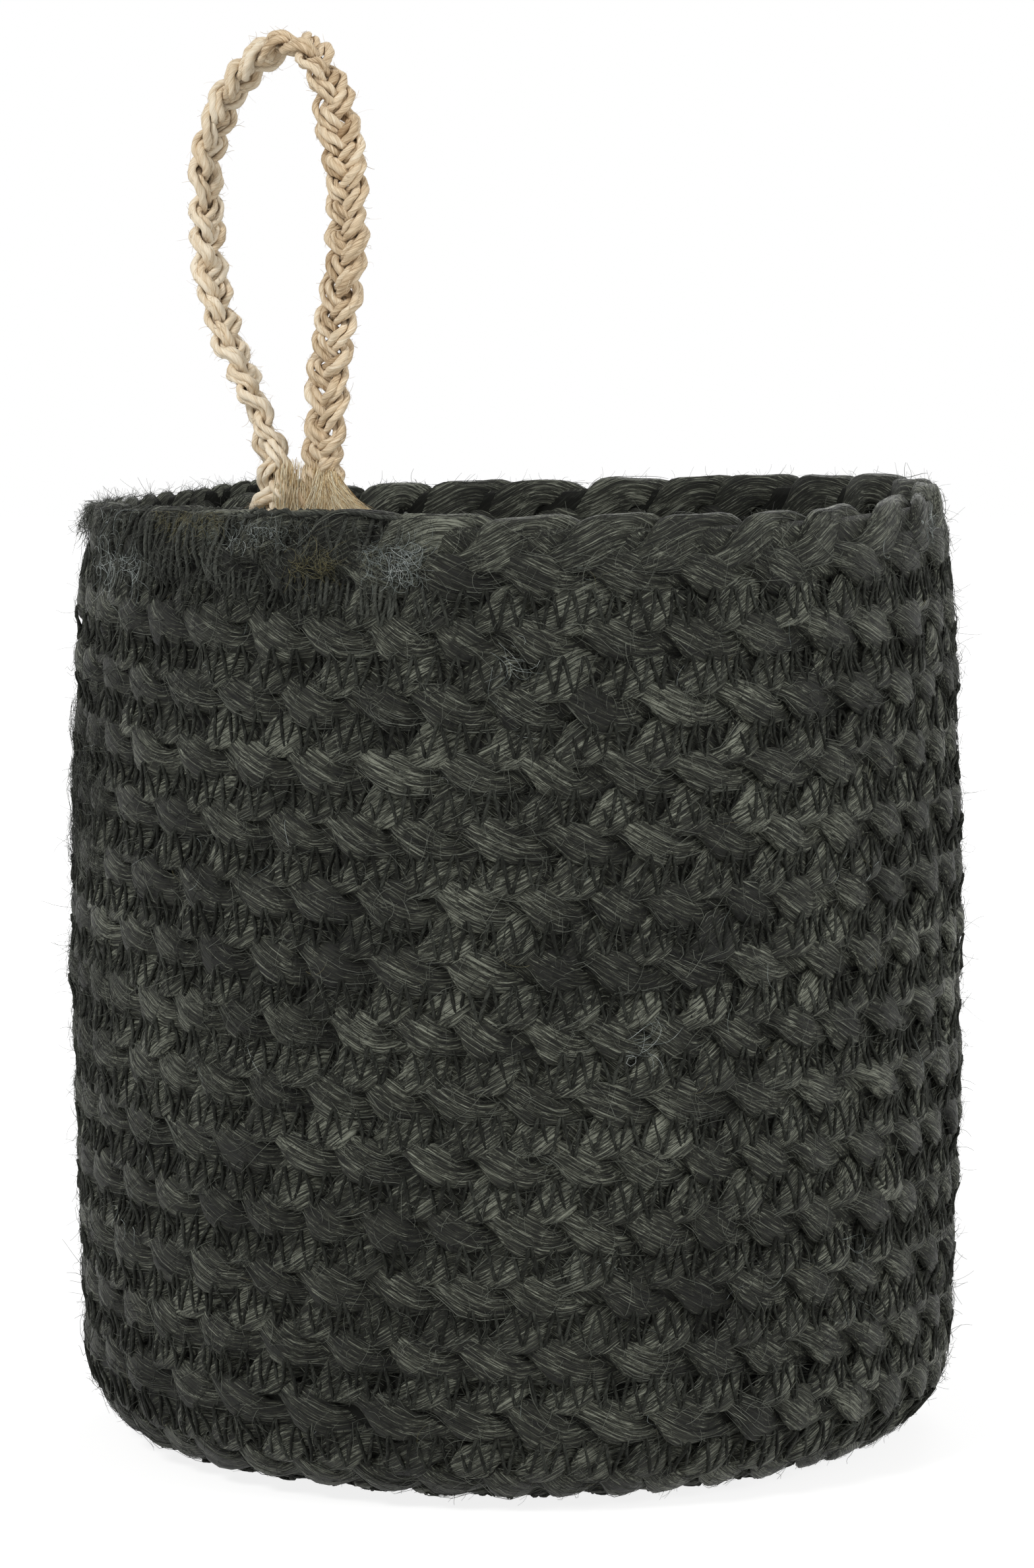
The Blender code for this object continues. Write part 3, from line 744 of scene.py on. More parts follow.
# Outside and inside: a leg's length, its rings, how far its top end lies over the row above
# in the base and on the wall, and how far it reaches down.
BASE_SEAM = ((1.7 * MM, 7, (0.9 * MM, -1.3 * MM), 4.6 * MM),
             (1.9 * MM, 6, (0.9 * MM, -1.3 * MM), 4.2 * MM))
WALL_SEAM = ((1.62 * MM, 9, (0.9 * MM, -2.3 * MM), 4.4 * MM),
             (1.9 * MM, 6, (0.9 * MM, -1.4 * MM), 3.7 * MM))
FIRST_SEAM, LAST_SEAM = START_ANGLE + TURN + math.radians(30), TAIL_ANGLE - math.radians(8)
THREAD_PIECES = 4
sew("base_zigzag", FIRST_SEAM, BASE_END_ANGLE, BASE_SEAM, "base_seam_thread")
seam_cuts = np.linspace(BASE_END_ANGLE, LAST_SEAM, THREAD_PIECES + 1)
for number in range(THREAD_PIECES):
    sew(f"wall_zigzag_{number + 1}", seam_cuts[number], seam_cuts[number + 1], WALL_SEAM,
        "wall_seam_thread")


# Fibres on the plait
HAIR_FLOOR = 0.2 * MM


def strand_points(number, place, around, lift):
    """Points on a strand's skin: ring places (float), angles round it, and distances off it."""
    s = strands[number]
    i = np.clip(place.astype(int), 0, len(run) - 2)

    def at(values):
        return between(values, i, (place - i)[..., None])

    a = at(s["half_width"][:, None]) + lift[..., None]
    b = at(s["half_thick"][:, None]) + lift[..., None]
    flat_x, flat_y = section(around)
    return (at(s["path"]) + unit(at(s["side"])) * a * flat_x[..., None]
            + unit(at(s["top"])) * b * flat_y[..., None])


HAIR_WANDER = 0.6


def curly(start, way, size, bend, steps, strength, generator=rng):
    """Paths of curly hairs that leave start in the direction way."""
    path = [start]
    for _ in range(steps - 1):
        bend = bend + generator.normal(0, HAIR_WANDER, bend.shape)
        way = unit(way + bend * strength)
        path.append(path[-1] + way * (size / (steps - 1))[:, None])
    return np.stack(path, 1)


def surface_fibres(count):
    """Fibres that lie on the strands, some with a loose end."""
    tubes, steps, n = Tubes(), 8, count // 3
    share = np.linspace(0, 1, steps)
    for number in range(3):
        length = rng.uniform(7, 20, n) * MM
        start = rng.uniform(0, len(run) - 25, n)
        place = np.clip(start[:, None] + share * (length / RING_STEP)[:, None], 0, len(run) - 2)
        around = rng.uniform(0.08, 0.92, n)[:, None] * math.pi
        around = around + rng.normal(0, 0.35, n)[:, None] * (share - 0.5)
        around = around + np.cumsum(rng.normal(0, 0.02, (n, steps)), 1)
        height = np.abs(rng.normal(0, 0.16, n))[:, None] * MM * np.sin(share * math.pi)[None]
        loose = rng.uniform(0, 1, n) < 0.16
        height = height + loose[:, None] * rng.uniform(0.2, 1.2, n)[:, None] * MM * share ** 2
        path = strand_points(number, place, around, 0.03 * MM + height)
        taper = 1 - 0.5 * np.abs(2 * share - 1) ** 3
        tubes.add_hairs(above_floor(path, HAIR_FLOOR), (0.035, 0.07), taper, (-4.0, 4.5))
    return tubes


def stray_fibres(count):
    """Curly loose hairs that start on the plait's outer skin."""
    tubes, steps, n = Tubes(), 7, count // 3
    for number, s in enumerate(strands):
        start = rng.uniform(0, len(run) - 4, n)
        around = rng.uniform(0.1, 0.9, n) * math.pi
        origin = strand_points(number, start, around, np.zeros(n) - 0.1 * MM)
        i = start.astype(int)
        way = unit(s["top"][i] * rng.uniform(0.05, 1.0, (n, 1)) ** 1.5
                   + s["side"][i] * rng.uniform(-1, 1, (n, 1))
                   + s["along"][i] * rng.uniform(-1.3, 1.3, (n, 1)))
        bend = rng.normal(0, 1, (n, 3))
        # Fewer hairs stand off near the base, where they are rubbed down.
        length = rng.uniform(1.5, 6, n) * MM * np.clip(origin[:, 2] / (14 * MM), 0.15, 1)
        path = above_floor(curly(origin, way, length, bend, steps, 0.16), HAIR_FLOOR)
        tubes.add_hairs(path, (0.025, 0.05), np.linspace(1, 0.55, steps), (-1.5, 2.5))
    return tubes


def rim_fuzz(count):
    """Short hairs that stand off the top of the rim all the way round."""
    tubes, steps, n = Tubes(), 6, count // 3
    last_turn = np.nonzero(angle > TAIL_ANGLE - TURN - TAIL_TAPER_ANGLE)[0]
    for number, s in enumerate(strands):
        high = last_turn[(s["up"][last_turn] > 0.22 * full[last_turn])]
        # The rim is hairiest at the left.
        weight = 0.3 + np.exp(-((angle[high] % TURN - math.radians(100)) / math.radians(45)) ** 2)
        i = rng.choice(high, n, p=weight / weight.sum())
        around = rng.uniform(-0.25, 1.25, n) * math.pi
        origin = strand_points(number, i.astype(float), around, np.zeros(n) - 0.05 * MM)
        # The strand's own side direction points up the wall or down it.
        side = s["side"][i] * np.sign(s["side"][i, 2:3])
        way = unit(s["along"][i] * rng.choice([-1, 1], (n, 1)) * rng.uniform(0.4, 1.5, (n, 1))
                   + side * rng.uniform(0.0, 0.9, (n, 1)) + s["top"][i] * rng.normal(0, 0.35, (n, 1)))
        size = rng.uniform(0, 1, n) ** 2 * 2.8 * MM + 0.5 * MM
        path = curly(origin, way, size, rng.normal(0, 1, (n, 3)), steps, 0.1)
        tubes.add_hairs(path, (0.02, 0.04), np.linspace(1, 0.5, steps), (-4.0, 3.0))
    return tubes


def hair_pieces(name, pieces, make, count):
    """Several pieces of black hair alike, as one would have too many triangles."""
    for number in range(pieces):
        make_piece(f"{name}_{number + 1}", make(count), black_hair)


hair_pieces("surface_fibres", 3, surface_fibres, 4400)
hair_pieces("stray_fibres", 2, stray_fibres, 4200)
make_piece("rim_fuzz", rim_fuzz(5400), black_hair)


def wall_skin(place_angle, length):
    """How far out the basket's outer face is, from the row there and its neighbours."""
    turns = np.floor((length - seam_length(place_angle)) / ROW_PITCH)
    best = np.full(np.shape(length), -2 * MM)
    for near in (-1, 0, 1):
        a = place_angle + TURN * (turns + near)
        inside = (a < TAIL_ANGLE) & (a > START_ANGLE)
        best = np.where(inside, np.maximum(best, skin_out(run_at(a), length)), best)
    return best


def length_at(z):
    return LENGTH_AT_ZERO + np.asarray(z) * MM


def top_length(place_angle):
    return rim_length(place_angle) - 1.2 * MM


def lying_hairs(angle_at, length, heading, size, steps, curl, lift, radius, tone, loose_end):
    """Loose hairs that lie over the wall, with their starts and headings (0 is rightwards).

    size, lift and radius, in mm, and tone are ranges; loose_end is how far the free end may rise.
    """
    n = len(angle_at)
    size, lift, radius, tone = (rng.uniform(*span, n) for span in (size, lift, radius, tone))
    size = size * MM
    a, up, bend = angle_at, length, rng.normal(0, curl, n)
    places, ups = [a], [up]
    for _ in range(steps - 1):
        bend = bend + rng.normal(0, curl * 0.7, n)
        heading = heading + bend
        a = a - np.cos(heading) * size / (steps - 1) / BELLY_RADIUS
        up = np.minimum(up + np.sin(heading) * size / (steps - 1), top_length(a))
        places.append(a)
        ups.append(up)
    a, up = np.stack(places, 1), np.stack(ups, 1)
    out = taut(wall_skin(a, up), 3) + lift[:, None] * MM
    out[:, 0] -= 0.3 * MM
    out = out + loose_end * MM * np.linspace(0, 1, steps) ** 2 * rng.uniform(0, 1, (n, 1))
    tubes = Tubes()
    tubes.add(*round_tubes(surface(a, up, out), radius[:, None] * MM * np.linspace(1, 0.55, steps),
                           HAIR_SIDES, outward_at(a, up), seed=rng.uniform(0, 9, n)), tone)
    return tubes


def all_round(count, low, high):
    """Places all round the wall between two heights."""
    lengths = LENGTH_AT_ZERO + low, LENGTH_AT_ZERO + high
    return rng.uniform(-math.pi, math.pi, count), rng.uniform(*lengths, count)


def wall_hairs(count):
    """Hairs that have come loose from their strand and cross the next ones."""
    slope = rng.choice([0.55, -0.55], count) + rng.normal(0, 0.5, count)
    return lying_hairs(*all_round(count, 3 * MM, RIM_HEIGHT), slope + rng.choice([0, math.pi], count),
                       (2.5, 9), 8, 0.09, (0.0, 0.28), (0.03, 0.06), (-4.5, 4.0), 0.5)


def wall_fuzz(count):
    """Short curly hairs that stand a little off the wall everywhere."""
    return lying_hairs(*all_round(count, 4 * MM, RIM_HEIGHT), rng.uniform(0, TURN, count),
                       (1.2, 4.5), 5, 0.35, (0.05, 0.7), (0.025, 0.05), (-3.5, 4.0), 1.2)


hair_pieces("crossing_fibres", 3, wall_hairs, 4000)
hair_pieces("wall_fuzz", 2, wall_fuzz, 7000)


# Stitches at the front left
STITCH_SIDES = 8
# Shares of a stitch's path: where it has climbed to the rim and where it has crossed it
CLIMB_END, CROSS_END, CROSS_SHARE = 0.62, 0.82, 0.2


def over_rim(place_angle, slant, outer_z, inner_z, steps=26):
    """Paths that climb the outer face, cross the rim and go down the inner face."""
    n = len(place_angle)
    share = np.linspace(0, 1, steps)[None]
    top = rim_length(place_angle)[:, None] - 1.0 * MM
    up_share = np.clip(share / CLIMB_END, 0, 1)
    over = np.clip((share - CLIMB_END) / CROSS_SHARE, 0, 1)
    down = np.clip((share - CROSS_END) / 0.18, 0, 1)
    start = length_at(outer_z)[:, None]
    bow = top - 1.6 * MM
    length = start + (bow - start) * up_share + 1.9 * MM * np.sin(over * math.pi)
    length = length - (bow - length_at(inner_z)[:, None]) * down
    a = place_angle[:, None] + (slant[:, None] * (share - 0.5) * 6 * MM) / BELLY_RADIUS
    climbing = over <= 0
    face = wall_skin(a, np.minimum(length, bow)) + 0.30 * MM
    face = taut(np.where(climbing, face, 0), 6)
    last = face[:, [int(CLIMB_END * (steps - 1))]]
    across = last * np.cos(over * math.pi * 0.5) ** 0.8 - 2.9 * MM * np.sin(over * math.pi * 0.5)
    out = np.where(climbing, face, across)
    out[:, 0] -= 0.8 * MM
    out[:, 1] -= 0.2 * MM
    out = out + 0.07 * MM * rng.normal(0, 1, (n, steps)).cumsum(1) * 0.3
    return surface(a, length, out), outward_at(a, length)


def band_stitches(place_angle, top_z, bottom_z, slant, steps=12):
    """Short stitches down the outer face, under the rim."""
    share = np.linspace(0, 1, steps)[None]
    length = length_at(top_z)[:, None] * (1 - share) + length_at(bottom_z)[:, None] * share
    a = place_angle[:, None] + slant[:, None] * (share - 0.5) * 5 * MM / BELLY_RADIUS
    out = taut(wall_skin(a, length), 6) + 0.25 * MM
    out = out - 0.9 * MM * np.clip(1 - np.minimum(share, 1 - share) / 0.12, 0, 1) ** 1.5
    return surface(a, length, out), outward_at(a, length)


def jitter(values, amount):
    """Values that are each a little off."""
    return values + rng.uniform(-amount, amount, len(values))


stitches = Tubes()
at = jitter(np.radians(np.arange(40.5, 75, 1.45)), 0.006)
long_ones = over_rim(at, rng.normal(-0.12, 0.16, len(at)), jitter(np.full(len(at), 147.6), 1.4),
                     jitter(np.full(len(at), 151.5), 1.0))
at = jitter(np.radians(np.arange(15, 40.5, 1.9)), 0.006)
lean = np.where(np.arange(len(at)) % 2, 0.5, -0.35) + rng.normal(0, 0.12, len(at))
vees = over_rim(at, lean, jitter(np.full(len(at), 151.0), 1.5), jitter(np.full(len(at), 152.5), 1.0))
degrees = np.arange(11.5, 74, 0.92)
at = jitter(np.radians(degrees), 0.005)
fall = np.clip((41 - degrees) / 29, 0, 1)
band = band_stitches(at, jitter(150.0 - 2.0 * fall, 0.7), jitter(145.4 - 2.9 * fall, 0.6),
                     rng.normal(0.0, 0.14, len(at)))
for (path, leads), radius in ((long_ones, 0.36), (vees, 0.33), (band, 0.32)):
    n = len(path)
    stitches.add_thread(path, radius * MM * (1 + 0.1 * rng.normal(0, 1, (n, 1))), STITCH_SIDES, leads,
                        rng.uniform(0, 9, n), rng.uniform(-0.5, 2.0, n))
# A thick cord end laid along the top of the rim.
count = 70
a = np.radians(np.linspace(14.5, 37.5, count))[None]
wave = 0.35 * MM * noise_columns(np.arange(float(count)), 5, 1).T
bow = 0.6 * MM * np.sin(np.linspace(0, math.pi, count))
out = 1.9 * MM + 0.35 * MM * noise_columns(np.arange(float(count)), 4, 1).T
cord_path = surface(a, rim_length(a) - 1.5 * MM + wave + bow, out)
stitches.add(*round_tubes(cord_path, 0.34 * MM, STITCH_SIDES, outward_at(a, rim_length(a)), 0.18, 380),
             [0.5])
rim_stitches = make_piece("rim_stitches", stitches, black_stitch)
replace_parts(rim_stitches, "rim_binding_thread")


def clump(count, first, last, low, high, size, heading, tone, lift=(0.2, 1.2), curl=0.22, off=1.0):
    """Tangled hairs over a patch of the wall: degrees from the front and heights in mm."""
    angles, lengths = np.radians(rng.uniform(first, last, count)), length_at(rng.uniform(low, high, count))
    return lying_hairs(angles, lengths, rng.normal(*heading, count), size, 8, curl, lift,
                       (0.022, 0.045), tone, off)


def single_hairs(count):
    """Single pale hairs here and there."""
    return lying_hairs(*all_round(count, 5 * MM, 155 * MM), rng.uniform(0, TURN, count),
                       (2, 7), 8, 0.16, (0.1, 0.4), (0.025, 0.045), (-3.0, 4.0), 0.8)


# Number of hairs, first and last degree, lowest and highest mm, length in mm, heading as mean and
# spread, and tone. The side's clumps add how far they lie off the wall, their curl and loose ends.
PALE_CLUMPS = (
    (130, 26, 46, 152.6, 157.2, (1.5, 5), (1.2, 0.9), (-1.0, 2.2)),
    (34, 31, 40, 153.5, 156.5, (1.5, 4), (0.4, 0.8), (2.0, 4.5)),
    (150, 12.0, 20.0, 149.3, 154.8, (2, 6), (-0.5, 0.4), (-1.0, 2.2)),
    (34, 13.5, 17.0, 150.0, 153.8, (2, 5), (-0.6, 0.6), (2.5, 4.8)),
    (60, 58, 73, 147.5, 151.5, (4, 9), (-0.35, 0.3), (2.0, 4.8)),
    (14, 62, 73, 149, 158, (4, 8), (1.3, 0.4), (1.5, 4.5)),
    (130, 41, 55, 155.5, 158.2, (1.5, 4), (0.3, 0.9), (-4.5, -2.0)),
    (80, 24, 30, 149.5, 152.5, (2, 5), (-0.4, 0.4), (-4.5, -2.0)),
    (22, -71, -66, 153.5, 156.5, (1.5, 4), (0.5, 1.5), (1.0, 5.0)),
    (12, 0.5, 4.0, 134.5, 139.5, (4, 7), (-0.9, 0.4), (2.0, 5.0)),
    (10, -16, -12, 74, 77, (4, 8), (0.1, 0.4), (1.0, 4.0)),
    (9, -50, -44, 30, 42, (4, 8), (-0.8, 0.5), (1.0, 4.0)),
    (9, 56, 62, 40, 46, (3, 6), (0.5, 0.8), (1.0, 4.0)),
)
SIDE_CLUMPS = (
    (420, 84, 100, 152.5, 157.0, (2, 6), (0.6, 1.4), (-3.0, 4.5), (0.3, 2.4), 0.3, 2.0),
    (900, 66, 88, 96, 120, (3, 8), (0.9, 0.5), (-2.5, 2.5), (0.1, 0.9), 0.18, 0.8),
    (500, 60, 84, 62, 84, (2, 6), (0.7, 0.8), (-2.5, 2.5), (0.1, 0.8), 0.2, 0.8),
    (500, 20, 44, 64, 84, (2, 5), (0.8, 1.2), (-2.5, 2.0), (0.1, 0.6), 0.25, 0.8),
)
RIM_CLUMP = (1700, 11, 77, 143.5, 158.5, (1.5, 6), (1.0, 1.2), (-4.5, 2.0), (0.1, 0.9), 0.2, 0.9)
pale = Tubes().take([clump(*patch) for patch in PALE_CLUMPS] + [single_hairs(240)])
make_piece("pale_tufts", pale, pale_hair)
make_piece("rim_tangle", clump(*RIM_CLUMP), black_hair)
side_tuft = Tubes().take([clump(*patch) for patch in SIDE_CLUMPS])
make_piece("side_tuft", side_tuft, black_hair)

# The natural jute loop
LOOP_ANGLE, LOOP_HEIGHT, LOOP_WIDTH = math.radians(34.5), 70.8 * MM, 28.4 * MM
# The hinge of loop_fold
FOLD = np.array([-0.03482, -0.050663, 0.161316])
RIGHT = np.array([math.cos(LOOP_ANGLE), -math.sin(LOOP_ANGLE), 0])
OUT = np.array([-math.sin(LOOP_ANGLE), -math.cos(LOOP_ANGLE), 0])
UP = np.array([0, 0, 1.0])
# The strap's middle: places across and up as shares of the width and height, and its quarter turn
LOOP_ROUTE_SHARES = np.array((
    (-0.155, 0.000, 0.00), (-0.160, 0.075, 0.15), (-0.255, 0.165, 0.50), (-0.360, 0.250, 0.85),
    (-0.480, 0.335, 1.00), (-0.575, 0.440, 1.00), (-0.620, 0.560, 1.00), (-0.645, 0.680, 1.00),
    (-0.610, 0.770, 1.00), (-0.520, 0.860, 1.00), (-0.360, 0.935, 1.00), (-0.180, 0.985, 1.00),
    (-0.020, 1.000, 1.00), (0.120, 0.975, 0.95), (0.225, 0.905, 0.80), (0.290, 0.820, 0.50),
    (0.335, 0.720, 0.25), (0.350, 0.610, 0.10), (0.330, 0.500, 0.00), (0.270, 0.390, 0.00),
    (0.220, 0.280, 0.00), (0.195, 0.180, 0.00), (0.175, 0.080, 0.00), (0.170, 0.000, 0.00)))
INNER_FACE_RADIUS = 65.1 * MM
FOOT_DEPTH = 19 * MM


def catmull(knots, steps):
    """A smooth curve through the knots, with this many points to each stretch."""
    padded = np.concatenate([knots[:1], knots, knots[-1:]])
    out = []
    for i in range(len(knots) - 1):
        p0, p1, p2, p3 = padded[i:i + 4]
        x = (np.arange(steps) / steps)[:, None]
        out.append((2 * p1 + (p2 - p0) * x + (2 * p0 - 5 * p1 + 4 * p2 - p3) * x ** 2
                    + (3 * p1 - p0 - 3 * p2 + p3) * x ** 3) / 2)
    return np.concatenate(out + [knots[-1:]])


def strap_table():
    """Points, broad and thin directions, run and route of the strap, foot to foot."""
    above = LOOP_ROUTE_SHARES * (LOOP_WIDTH, LOOP_HEIGHT, 1)
    knots = [(-7.2 * MM, -FOOT_DEPTH, 0), (-6.6 * MM, -0.55 * FOOT_DEPTH, 0), (-5.4 * MM, -5 * MM, 0)]
    ends = [(5.0 * MM, -5 * MM, 0), (5.5 * MM, -0.55 * FOOT_DEPTH, 0), (6.0 * MM, -FOOT_DEPTH, 0)]
    route = catmull(np.concatenate([knots, above, ends]), 24)
    below = smoothstep(-route[:, 1] / (6 * MM))
    inward = below * 1.0 * MM
    points = FOLD + RIGHT * route[:, :1] + UP * route[:, 1:2] + OUT * inward[:, None]
    # Round the foot to the wall's inner face.
    points = points - OUT * (below * route[:, 0] ** 2 / (2 * INNER_FACE_RADIUS))[:, None]
    along = unit(np.gradient(points, axis=0))
    side = unit(np.cross(along, OUT))
    front = np.cross(side, along)
    turn = (route[:, 2] * math.pi / 2)[:, None]
    broad = side * np.cos(turn) + front * np.sin(turn)
    thin = front * np.cos(turn) - side * np.sin(turn)
    step = np.linalg.norm(np.diff(points, axis=0), axis=1)
    return points, broad, thin, np.concatenate([[0], np.cumsum(step)]), route


strap_points, strap_broad, strap_thin, strap_run, strap_route = strap_table()


def on_strap(run_place, across, out):
    """Points beside the strap's middle, and its thin direction there."""
    def at(values):
        return np.stack([np.interp(run_place, strap_run, values[:, i]) for i in range(3)], -1)
    return (at(strap_points) + unit(at(strap_broad)) * across[..., None]
            + unit(at(strap_thin)) * out[..., None]), unit(at(strap_thin))


YARN_RADIUS, YARN_STEP, YARN_SIDES = 0.60 * MM, 0.3 * MM, 12
# The yarn's two plies: depth of the groove as a share of its radius, and turns a metre
YARN_PLY_DEPTH, YARN_PLY_TURNS = 0.13, 190
LEFT_PERIOD, RIGHT_PERIOD = 14.0 * MM, 11.4 * MM
STRAND_REACH, STRAND_DEPTH = 2.2 * MM, 1.0 * MM
loop_rng = np.random.default_rng(7)
w = np.arange(0, strap_run[-1], YARN_STEP)


def loop_noise(spacing):
    """Smooth noise along the loop's strap, in -1..1."""
    return noise_columns(w, spacing, 1, loop_rng)[:, 0]


height = np.interp(w, strap_run, strap_route[:, 1])
right_leg = w > strap_run[-1] / 2
loose = np.where(right_leg, smoothstep((0.66 * LOOP_HEIGHT - height) / (12 * MM)), 0.15)
loose = loose * smoothstep((height - 3 * MM) / (8 * MM))
in_foot = smoothstep((4 * MM - height) / (7 * MM))
loop_period = np.where(right_leg, RIGHT_PERIOD, LEFT_PERIOD)
loop_period = loop_period * (1 + 0.2 * loose + 0.13 * loop_noise(0.014))
loop_phase = np.cumsum(YARN_STEP * TURN / loop_period)
yarns = Tubes()
yarn_paths, yarn_radii, yarn_parts = [], [], []
for strand in range(3):
    t = loop_phase + TURN * strand / 3 + 0.36 * loop_noise(0.007)
    reach = STRAND_REACH * (1 + 0.14 * loose + 0.18 * loop_noise(0.008))
    reach = reach * (1 + 0.42 * in_foot)
    depth = STRAND_DEPTH * (1 - 0.25 * in_foot) * (1 + 0.18 * loop_noise(0.008))
    u, v = reach * np.sin(t), -depth * np.sin(2 * t)
    rate = TURN / loop_period
    du, dw = reach * np.cos(t) * rate, np.ones_like(w)
    size = np.sqrt(du ** 2 + dw ** 2)
    edge = np.abs(np.sin(t)) ** 3
    roll = np.cumsum(YARN_STEP * 55 * (1 + 0.8 * loop_noise(0.02))) * TURN / 2
    roll = 0.95 * np.sin(roll) + loop_rng.uniform(0, TURN)
    for yarn in range(3):
        place = roll + TURN * yarn / 3 + 0.25 * loop_noise(0.008)
        spread = YARN_RADIUS * 1.10 * (1 + 0.10 * loop_noise(0.006))
        gap = spread * np.cos(place) * (1.42 - 0.28 * edge - 0.1 * loose)
        gap = gap + 0.24 * MM * loop_noise(0.0035)
        lift = spread * np.sin(place) * (0.72 + 0.22 * edge)
        path, lead = on_strap(w - gap * du / size, u + gap * dw / size, v + lift)
        radius = YARN_RADIUS * (1 + 0.20 * loop_noise(0.004))
        yarn_paths.append(path)
        yarn_radii.append(radius)
        rings, fibre = round_tubes(path[None], radius[None], YARN_SIDES, lead[None],
                                   YARN_PLY_DEPTH, YARN_PLY_TURNS, loop_rng.uniform(0, 9))
        rough = 1 + 0.10 * noise_columns(w, 1.6 * MM, YARN_SIDES, loop_rng)
        rings = path[None, :, None] + (rings - path[None, :, None]) * rough[None, :, :, None]
        shade = loop_noise(0.010) + loop_rng.uniform(-0.6, 0.6)
        # The left leg's yarns are painted paler: painted light, as that leg is lit more brightly.
        yarns.add(rings, fibre, shade[None] + np.where(right_leg, 0, 1.7))
        yarn_parts.append(rings.reshape(-1, 3))
yarn_paths, yarn_radii = np.array(yarn_paths), np.array(yarn_radii)
yarn_skin = np.concatenate(yarn_parts)
loop_crowding = Crowding(yarn_skin, np.ones(len(yarn_skin)), 0.35 * MM, 3)
# Crowding levels where the painted crease shade on the loop begins and where it is full.
LOOP_SHADE_FROM, LOOP_SHADE_TO = 0.50, 1.12


def loop_piece(name, tubes, material=natural_jute):
    obj = make_piece(name, tubes, material, None)
    # Painted shade in the creases between the yarns.
    paint_crease_shade(obj.data, loop_crowding, 0.75 * MM, LOOP_SHADE_FROM, LOOP_SHADE_TO)
    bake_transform(obj)
    return obj


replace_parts(loop_piece("loop_plait", yarns), "loop_bow", "loop_foot")


def yarn_hairs(count, length, off_skin, radius, bend_share, tone):
    """Hairs that start on the yarns: length and off_skin (how steeply they leave) are ranges."""
    which, at = loop_rng.integers(0, 9, count), loop_rng.integers(2, len(w) - 3, count)
    ahead = unit(yarn_paths[which, at + 2] - yarn_paths[which, at - 2])
    out = unit(loop_rng.normal(0, 1, (count, 3)))
    out = unit(out - (out * ahead).sum(1, keepdims=True) * ahead)
    rise = loop_rng.uniform(*off_skin, (count, 1))
    sense = np.where(loop_rng.uniform(0, 1, (count, 1)) < 0.5, -1, 1)
    way = unit(out * rise + ahead * sense * (1 - rise) + loop_rng.normal(0, 0.12, (count, 3)))
    size = loop_rng.uniform(0, 1, count) ** 2.2 * (length[1] - length[0]) + length[0]
    bend, steps = loop_rng.normal(0, 1, (count, 3)), 6
    start = yarn_paths[which, at] + out * yarn_radii[which, at][:, None] * 0.97
    path = curly(start, way, size, bend, steps, bend_share, loop_rng)
    tubes = Tubes()
    tubes.add_hairs(path, radius, np.linspace(1, 0.5, steps), tone, loop_rng)
    return tubes


YARN_DOWN = ((0.5 * MM, 2.2 * MM), (0.05, 0.5), (0.02, 0.05), 0.12, (-2.5, 2.5))
YARN_FUZZ = ((0.5 * MM, 3.2 * MM), (0.3, 1.0), (0.012, 0.022), 0.16, (-1, 2))
loop_piece("loop_down", yarn_hairs(6000, *YARN_DOWN))
loop_piece("loop_fuzz", yarn_hairs(1100, *YARN_FUZZ))

# Combed ends of the yarns, fanned over the foot and tucked behind the rim, in mm from the fold
combed = Tubes()
n, steps = 3300, 10
share = np.linspace(0, 1, steps)
fan = loop_rng.uniform(0, 1, n) < 0.84
spread = loop_rng.uniform(0, 1, n)
start_x = np.where(fan, loop_rng.normal(6.4, 0.7, n) + 1.0 * spread, loop_rng.uniform(-3.4, 4.6, n))
start_z = np.where(fan, loop_rng.uniform(1.6, 4.4, n) - 0.8 * spread, loop_rng.uniform(0.0, 5.6, n))
at_rim = 3.6 + 9.8 * spread
end_z = np.where(fan, -9.0 + 6.2 * spread ** 1.2, loop_rng.uniform(-12, -7, n))
end_x = np.where(fan, 6.6 + (at_rim - 6.6) * (end_z - 3.6) / (-2.7 - 3.6),
                 start_x + loop_rng.uniform(-1.6, 1.6, n))
x = start_x[:, None] + (end_x - start_x)[:, None] * share ** 1.06
z = start_z[:, None] + (end_z - start_z)[:, None] * share
x = x + np.cumsum(np.cumsum(loop_rng.normal(0, 0.06, (n, steps)), 1), 1)
z = z + np.cumsum(loop_rng.normal(0, 0.05, (n, steps)), 1)
out_in_layer = loop_rng.uniform(0, 1, n)
out = 0.8 + 2.0 * out_in_layer[:, None] * np.sin(0.45 + 0.55 * math.pi * share)
out = np.where(fan[:, None], out + 0.3, 0.2 + 1.6 * out_in_layer[:, None] + 0.4 * np.sin(share * math.pi))
points = (FOLD + RIGHT * (x * MM)[..., None] + UP * (z * MM)[..., None]
          + OUT * ((out - x ** 2 / (2 * 64)) * MM)[..., None])
# Fibres that lie low, near the wall, are painted darker: painted shade under the fibres that lie over
# them.
combed.add_hairs(points, (0.02, 0.05), 1 - 0.35 * share, (-1.8, 3.6), loop_rng, -0.8 * (1 - out_in_layer))
loop_piece("loop_foot_fibres", combed, combed_jute)


# Stitches that hold the foot to the wall, on its inner face.
rows = np.arange(6)
heights = FOLD[2] - (9 + 11.6 * rows / 5) * MM
ends = LOOP_ANGLE + np.where(rows % 2, 1, -1) * 6.1 * MM / INNER_FACE_RADIUS
share = np.linspace(0, 1, 9)[None]
a, z = blended(ends, share), blended(heights, share)
r = np.broadcast_to(60.1 * MM - 0.5 * MM * np.sin(share * math.pi), a.shape)
foot_thread = Tubes()
foot_thread.add_thread(on_circle(r, a, z), 0.36 * MM, STITCH_SIDES, None, np.arange(5.0), np.zeros(5))
foot_stitches = make_piece("foot_stitches", foot_thread, black_thread)
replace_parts(foot_stitches, "loop_foot_thread")

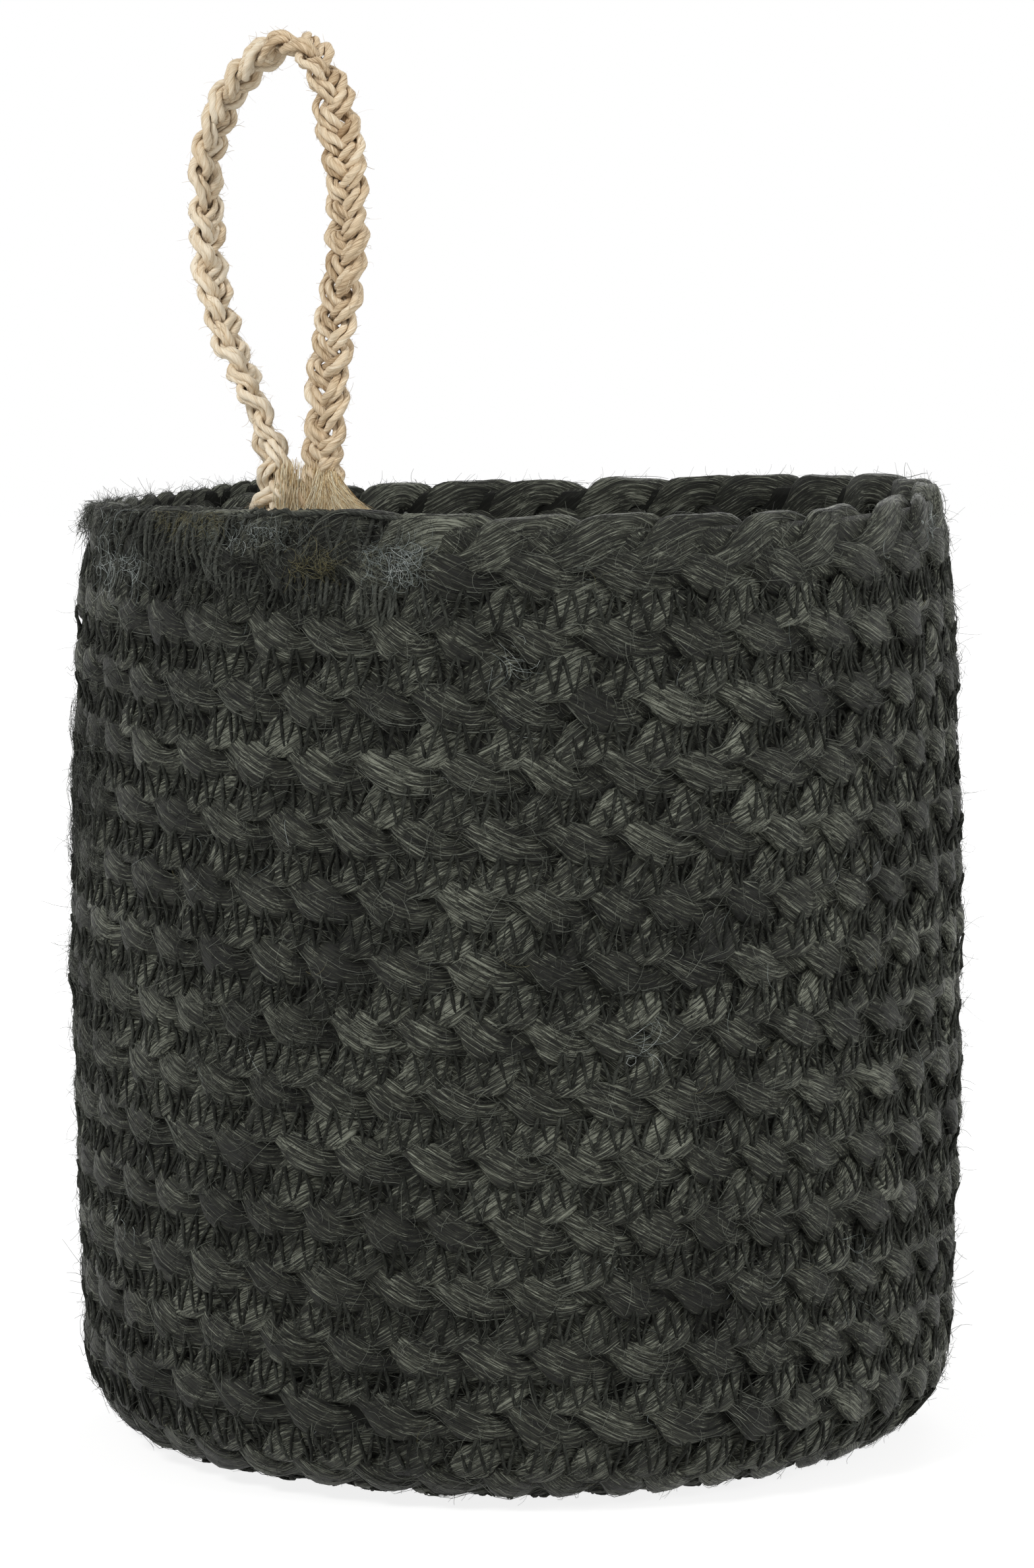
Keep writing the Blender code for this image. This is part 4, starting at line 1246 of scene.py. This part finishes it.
# Camera, light, floor
CAMERA_PLACE, CAMERA_TILT, CAMERA_LENS = (0, -0.9, 0.2016), math.radians(90 - 5.83), 122.78
SENSOR_HEIGHT, NEAREST = 36, 0.01
WHITE, FLOOR_COLOUR = (1, 1, 1), (0.82, 0.82, 0.81)
WORLD_STRENGTH, FLOOR_GLOW = 0.30, 1.36
FLOOR_RADIUS, FLOOR_SIDES = 3, 48
# The floor's own light and shadow show more near the basket than far from it.
WHITE_SHARES = {"From Min": 0.12, "From Max": 0.5, "To Min": 0.62, "To Max": 0.76}
camera_data = bpy.data.cameras.new("camera")
camera_data.sensor_fit = "VERTICAL"
camera_data.sensor_height, camera_data.lens, camera_data.clip_start = SENSOR_HEIGHT, CAMERA_LENS, NEAREST
camera = new_object("camera", camera_data)
camera.location = CAMERA_PLACE
camera.rotation_euler = (CAMERA_TILT, 0, 0)
bpy.context.scene.camera = camera

# Name, place, size and power of each light
LIGHTS = (("key", (-0.75, -0.95, 1.05), 0.4, 11.5), ("fill", (1.0, -0.7, 0.55), 0.5, 6.0),
          ("back", (0.3, 1.1, 1.0), 0.8, 5.0))
LIGHT_TARGET = Vector((0, 0, 0.1))
for name, place, size, power in LIGHTS:
    light = bpy.data.lights.new(name, "AREA")
    light.shape, light.size, light.energy = "DISK", size, power
    obj = new_object(name, light)
    obj.location = place
    obj.rotation_euler = (LIGHT_TARGET - Vector(place)).to_track_quat("-Z", "Y").to_euler()


def sees_white(tree):
    """1 for a ray that shows the white background: from the camera, a gloss or a glass."""
    rays = node(tree, "ShaderNodeLightPath")
    either = math_node(tree, "MAXIMUM", rays.outputs["Is Camera Ray"], rays.outputs["Is Glossy Ray"])
    return math_node(tree, "MAXIMUM", either, rays.outputs["Is Transmission Ray"])


world = bpy.data.worlds.new("studio")
bpy.context.scene.world = world
world.use_nodes = True
tree = world.node_tree
dim = tree.nodes["Background"]
set_inputs(tree, dim, {"Color": WHITE, "Strength": WORLD_STRENGTH})
white = node(tree, "ShaderNodeBackground", {"Color": WHITE, "Strength": 1.0})
mix_shaders(tree, sees_white(tree), dim, white, "World Output")

floor_mesh = bpy.data.meshes.new("floor")
corners = [(math.cos(a) * FLOOR_RADIUS, math.sin(a) * FLOOR_RADIUS, 0)
           for a in np.linspace(0, TURN, FLOOR_SIDES + 1)[:-1]]
floor_mesh.from_pydata(corners, [], [tuple(range(FLOOR_SIDES))])
floor = new_object("floor", floor_mesh)
material, tree, shader = nodes_of("pale_floor")
set_inputs(tree, shader, {"Base Color": FLOOR_COLOUR, "Roughness": 0.9, "Specular IOR Level": 0.1})
glow = node(tree, "ShaderNodeEmission", {"Strength": FLOOR_GLOW})
place = node(tree, "ShaderNodeTexCoord").outputs["Object"]
distance = node(tree, "ShaderNodeVectorMath", {0: place}, operation="LENGTH").outputs["Value"]
whiter = node(tree, "ShaderNodeMapRange", {"Value": distance, **WHITE_SHARES},
              interpolation_type="SMOOTHSTEP")
white_share = math_node(tree, "MULTIPLY", sees_white(tree), whiter.outputs["Result"])
mix_shaders(tree, white_share, shader, glow, "Material Output")
floor_mesh.materials.append(material)

bpy.context.scene.view_settings.view_transform = "Standard"
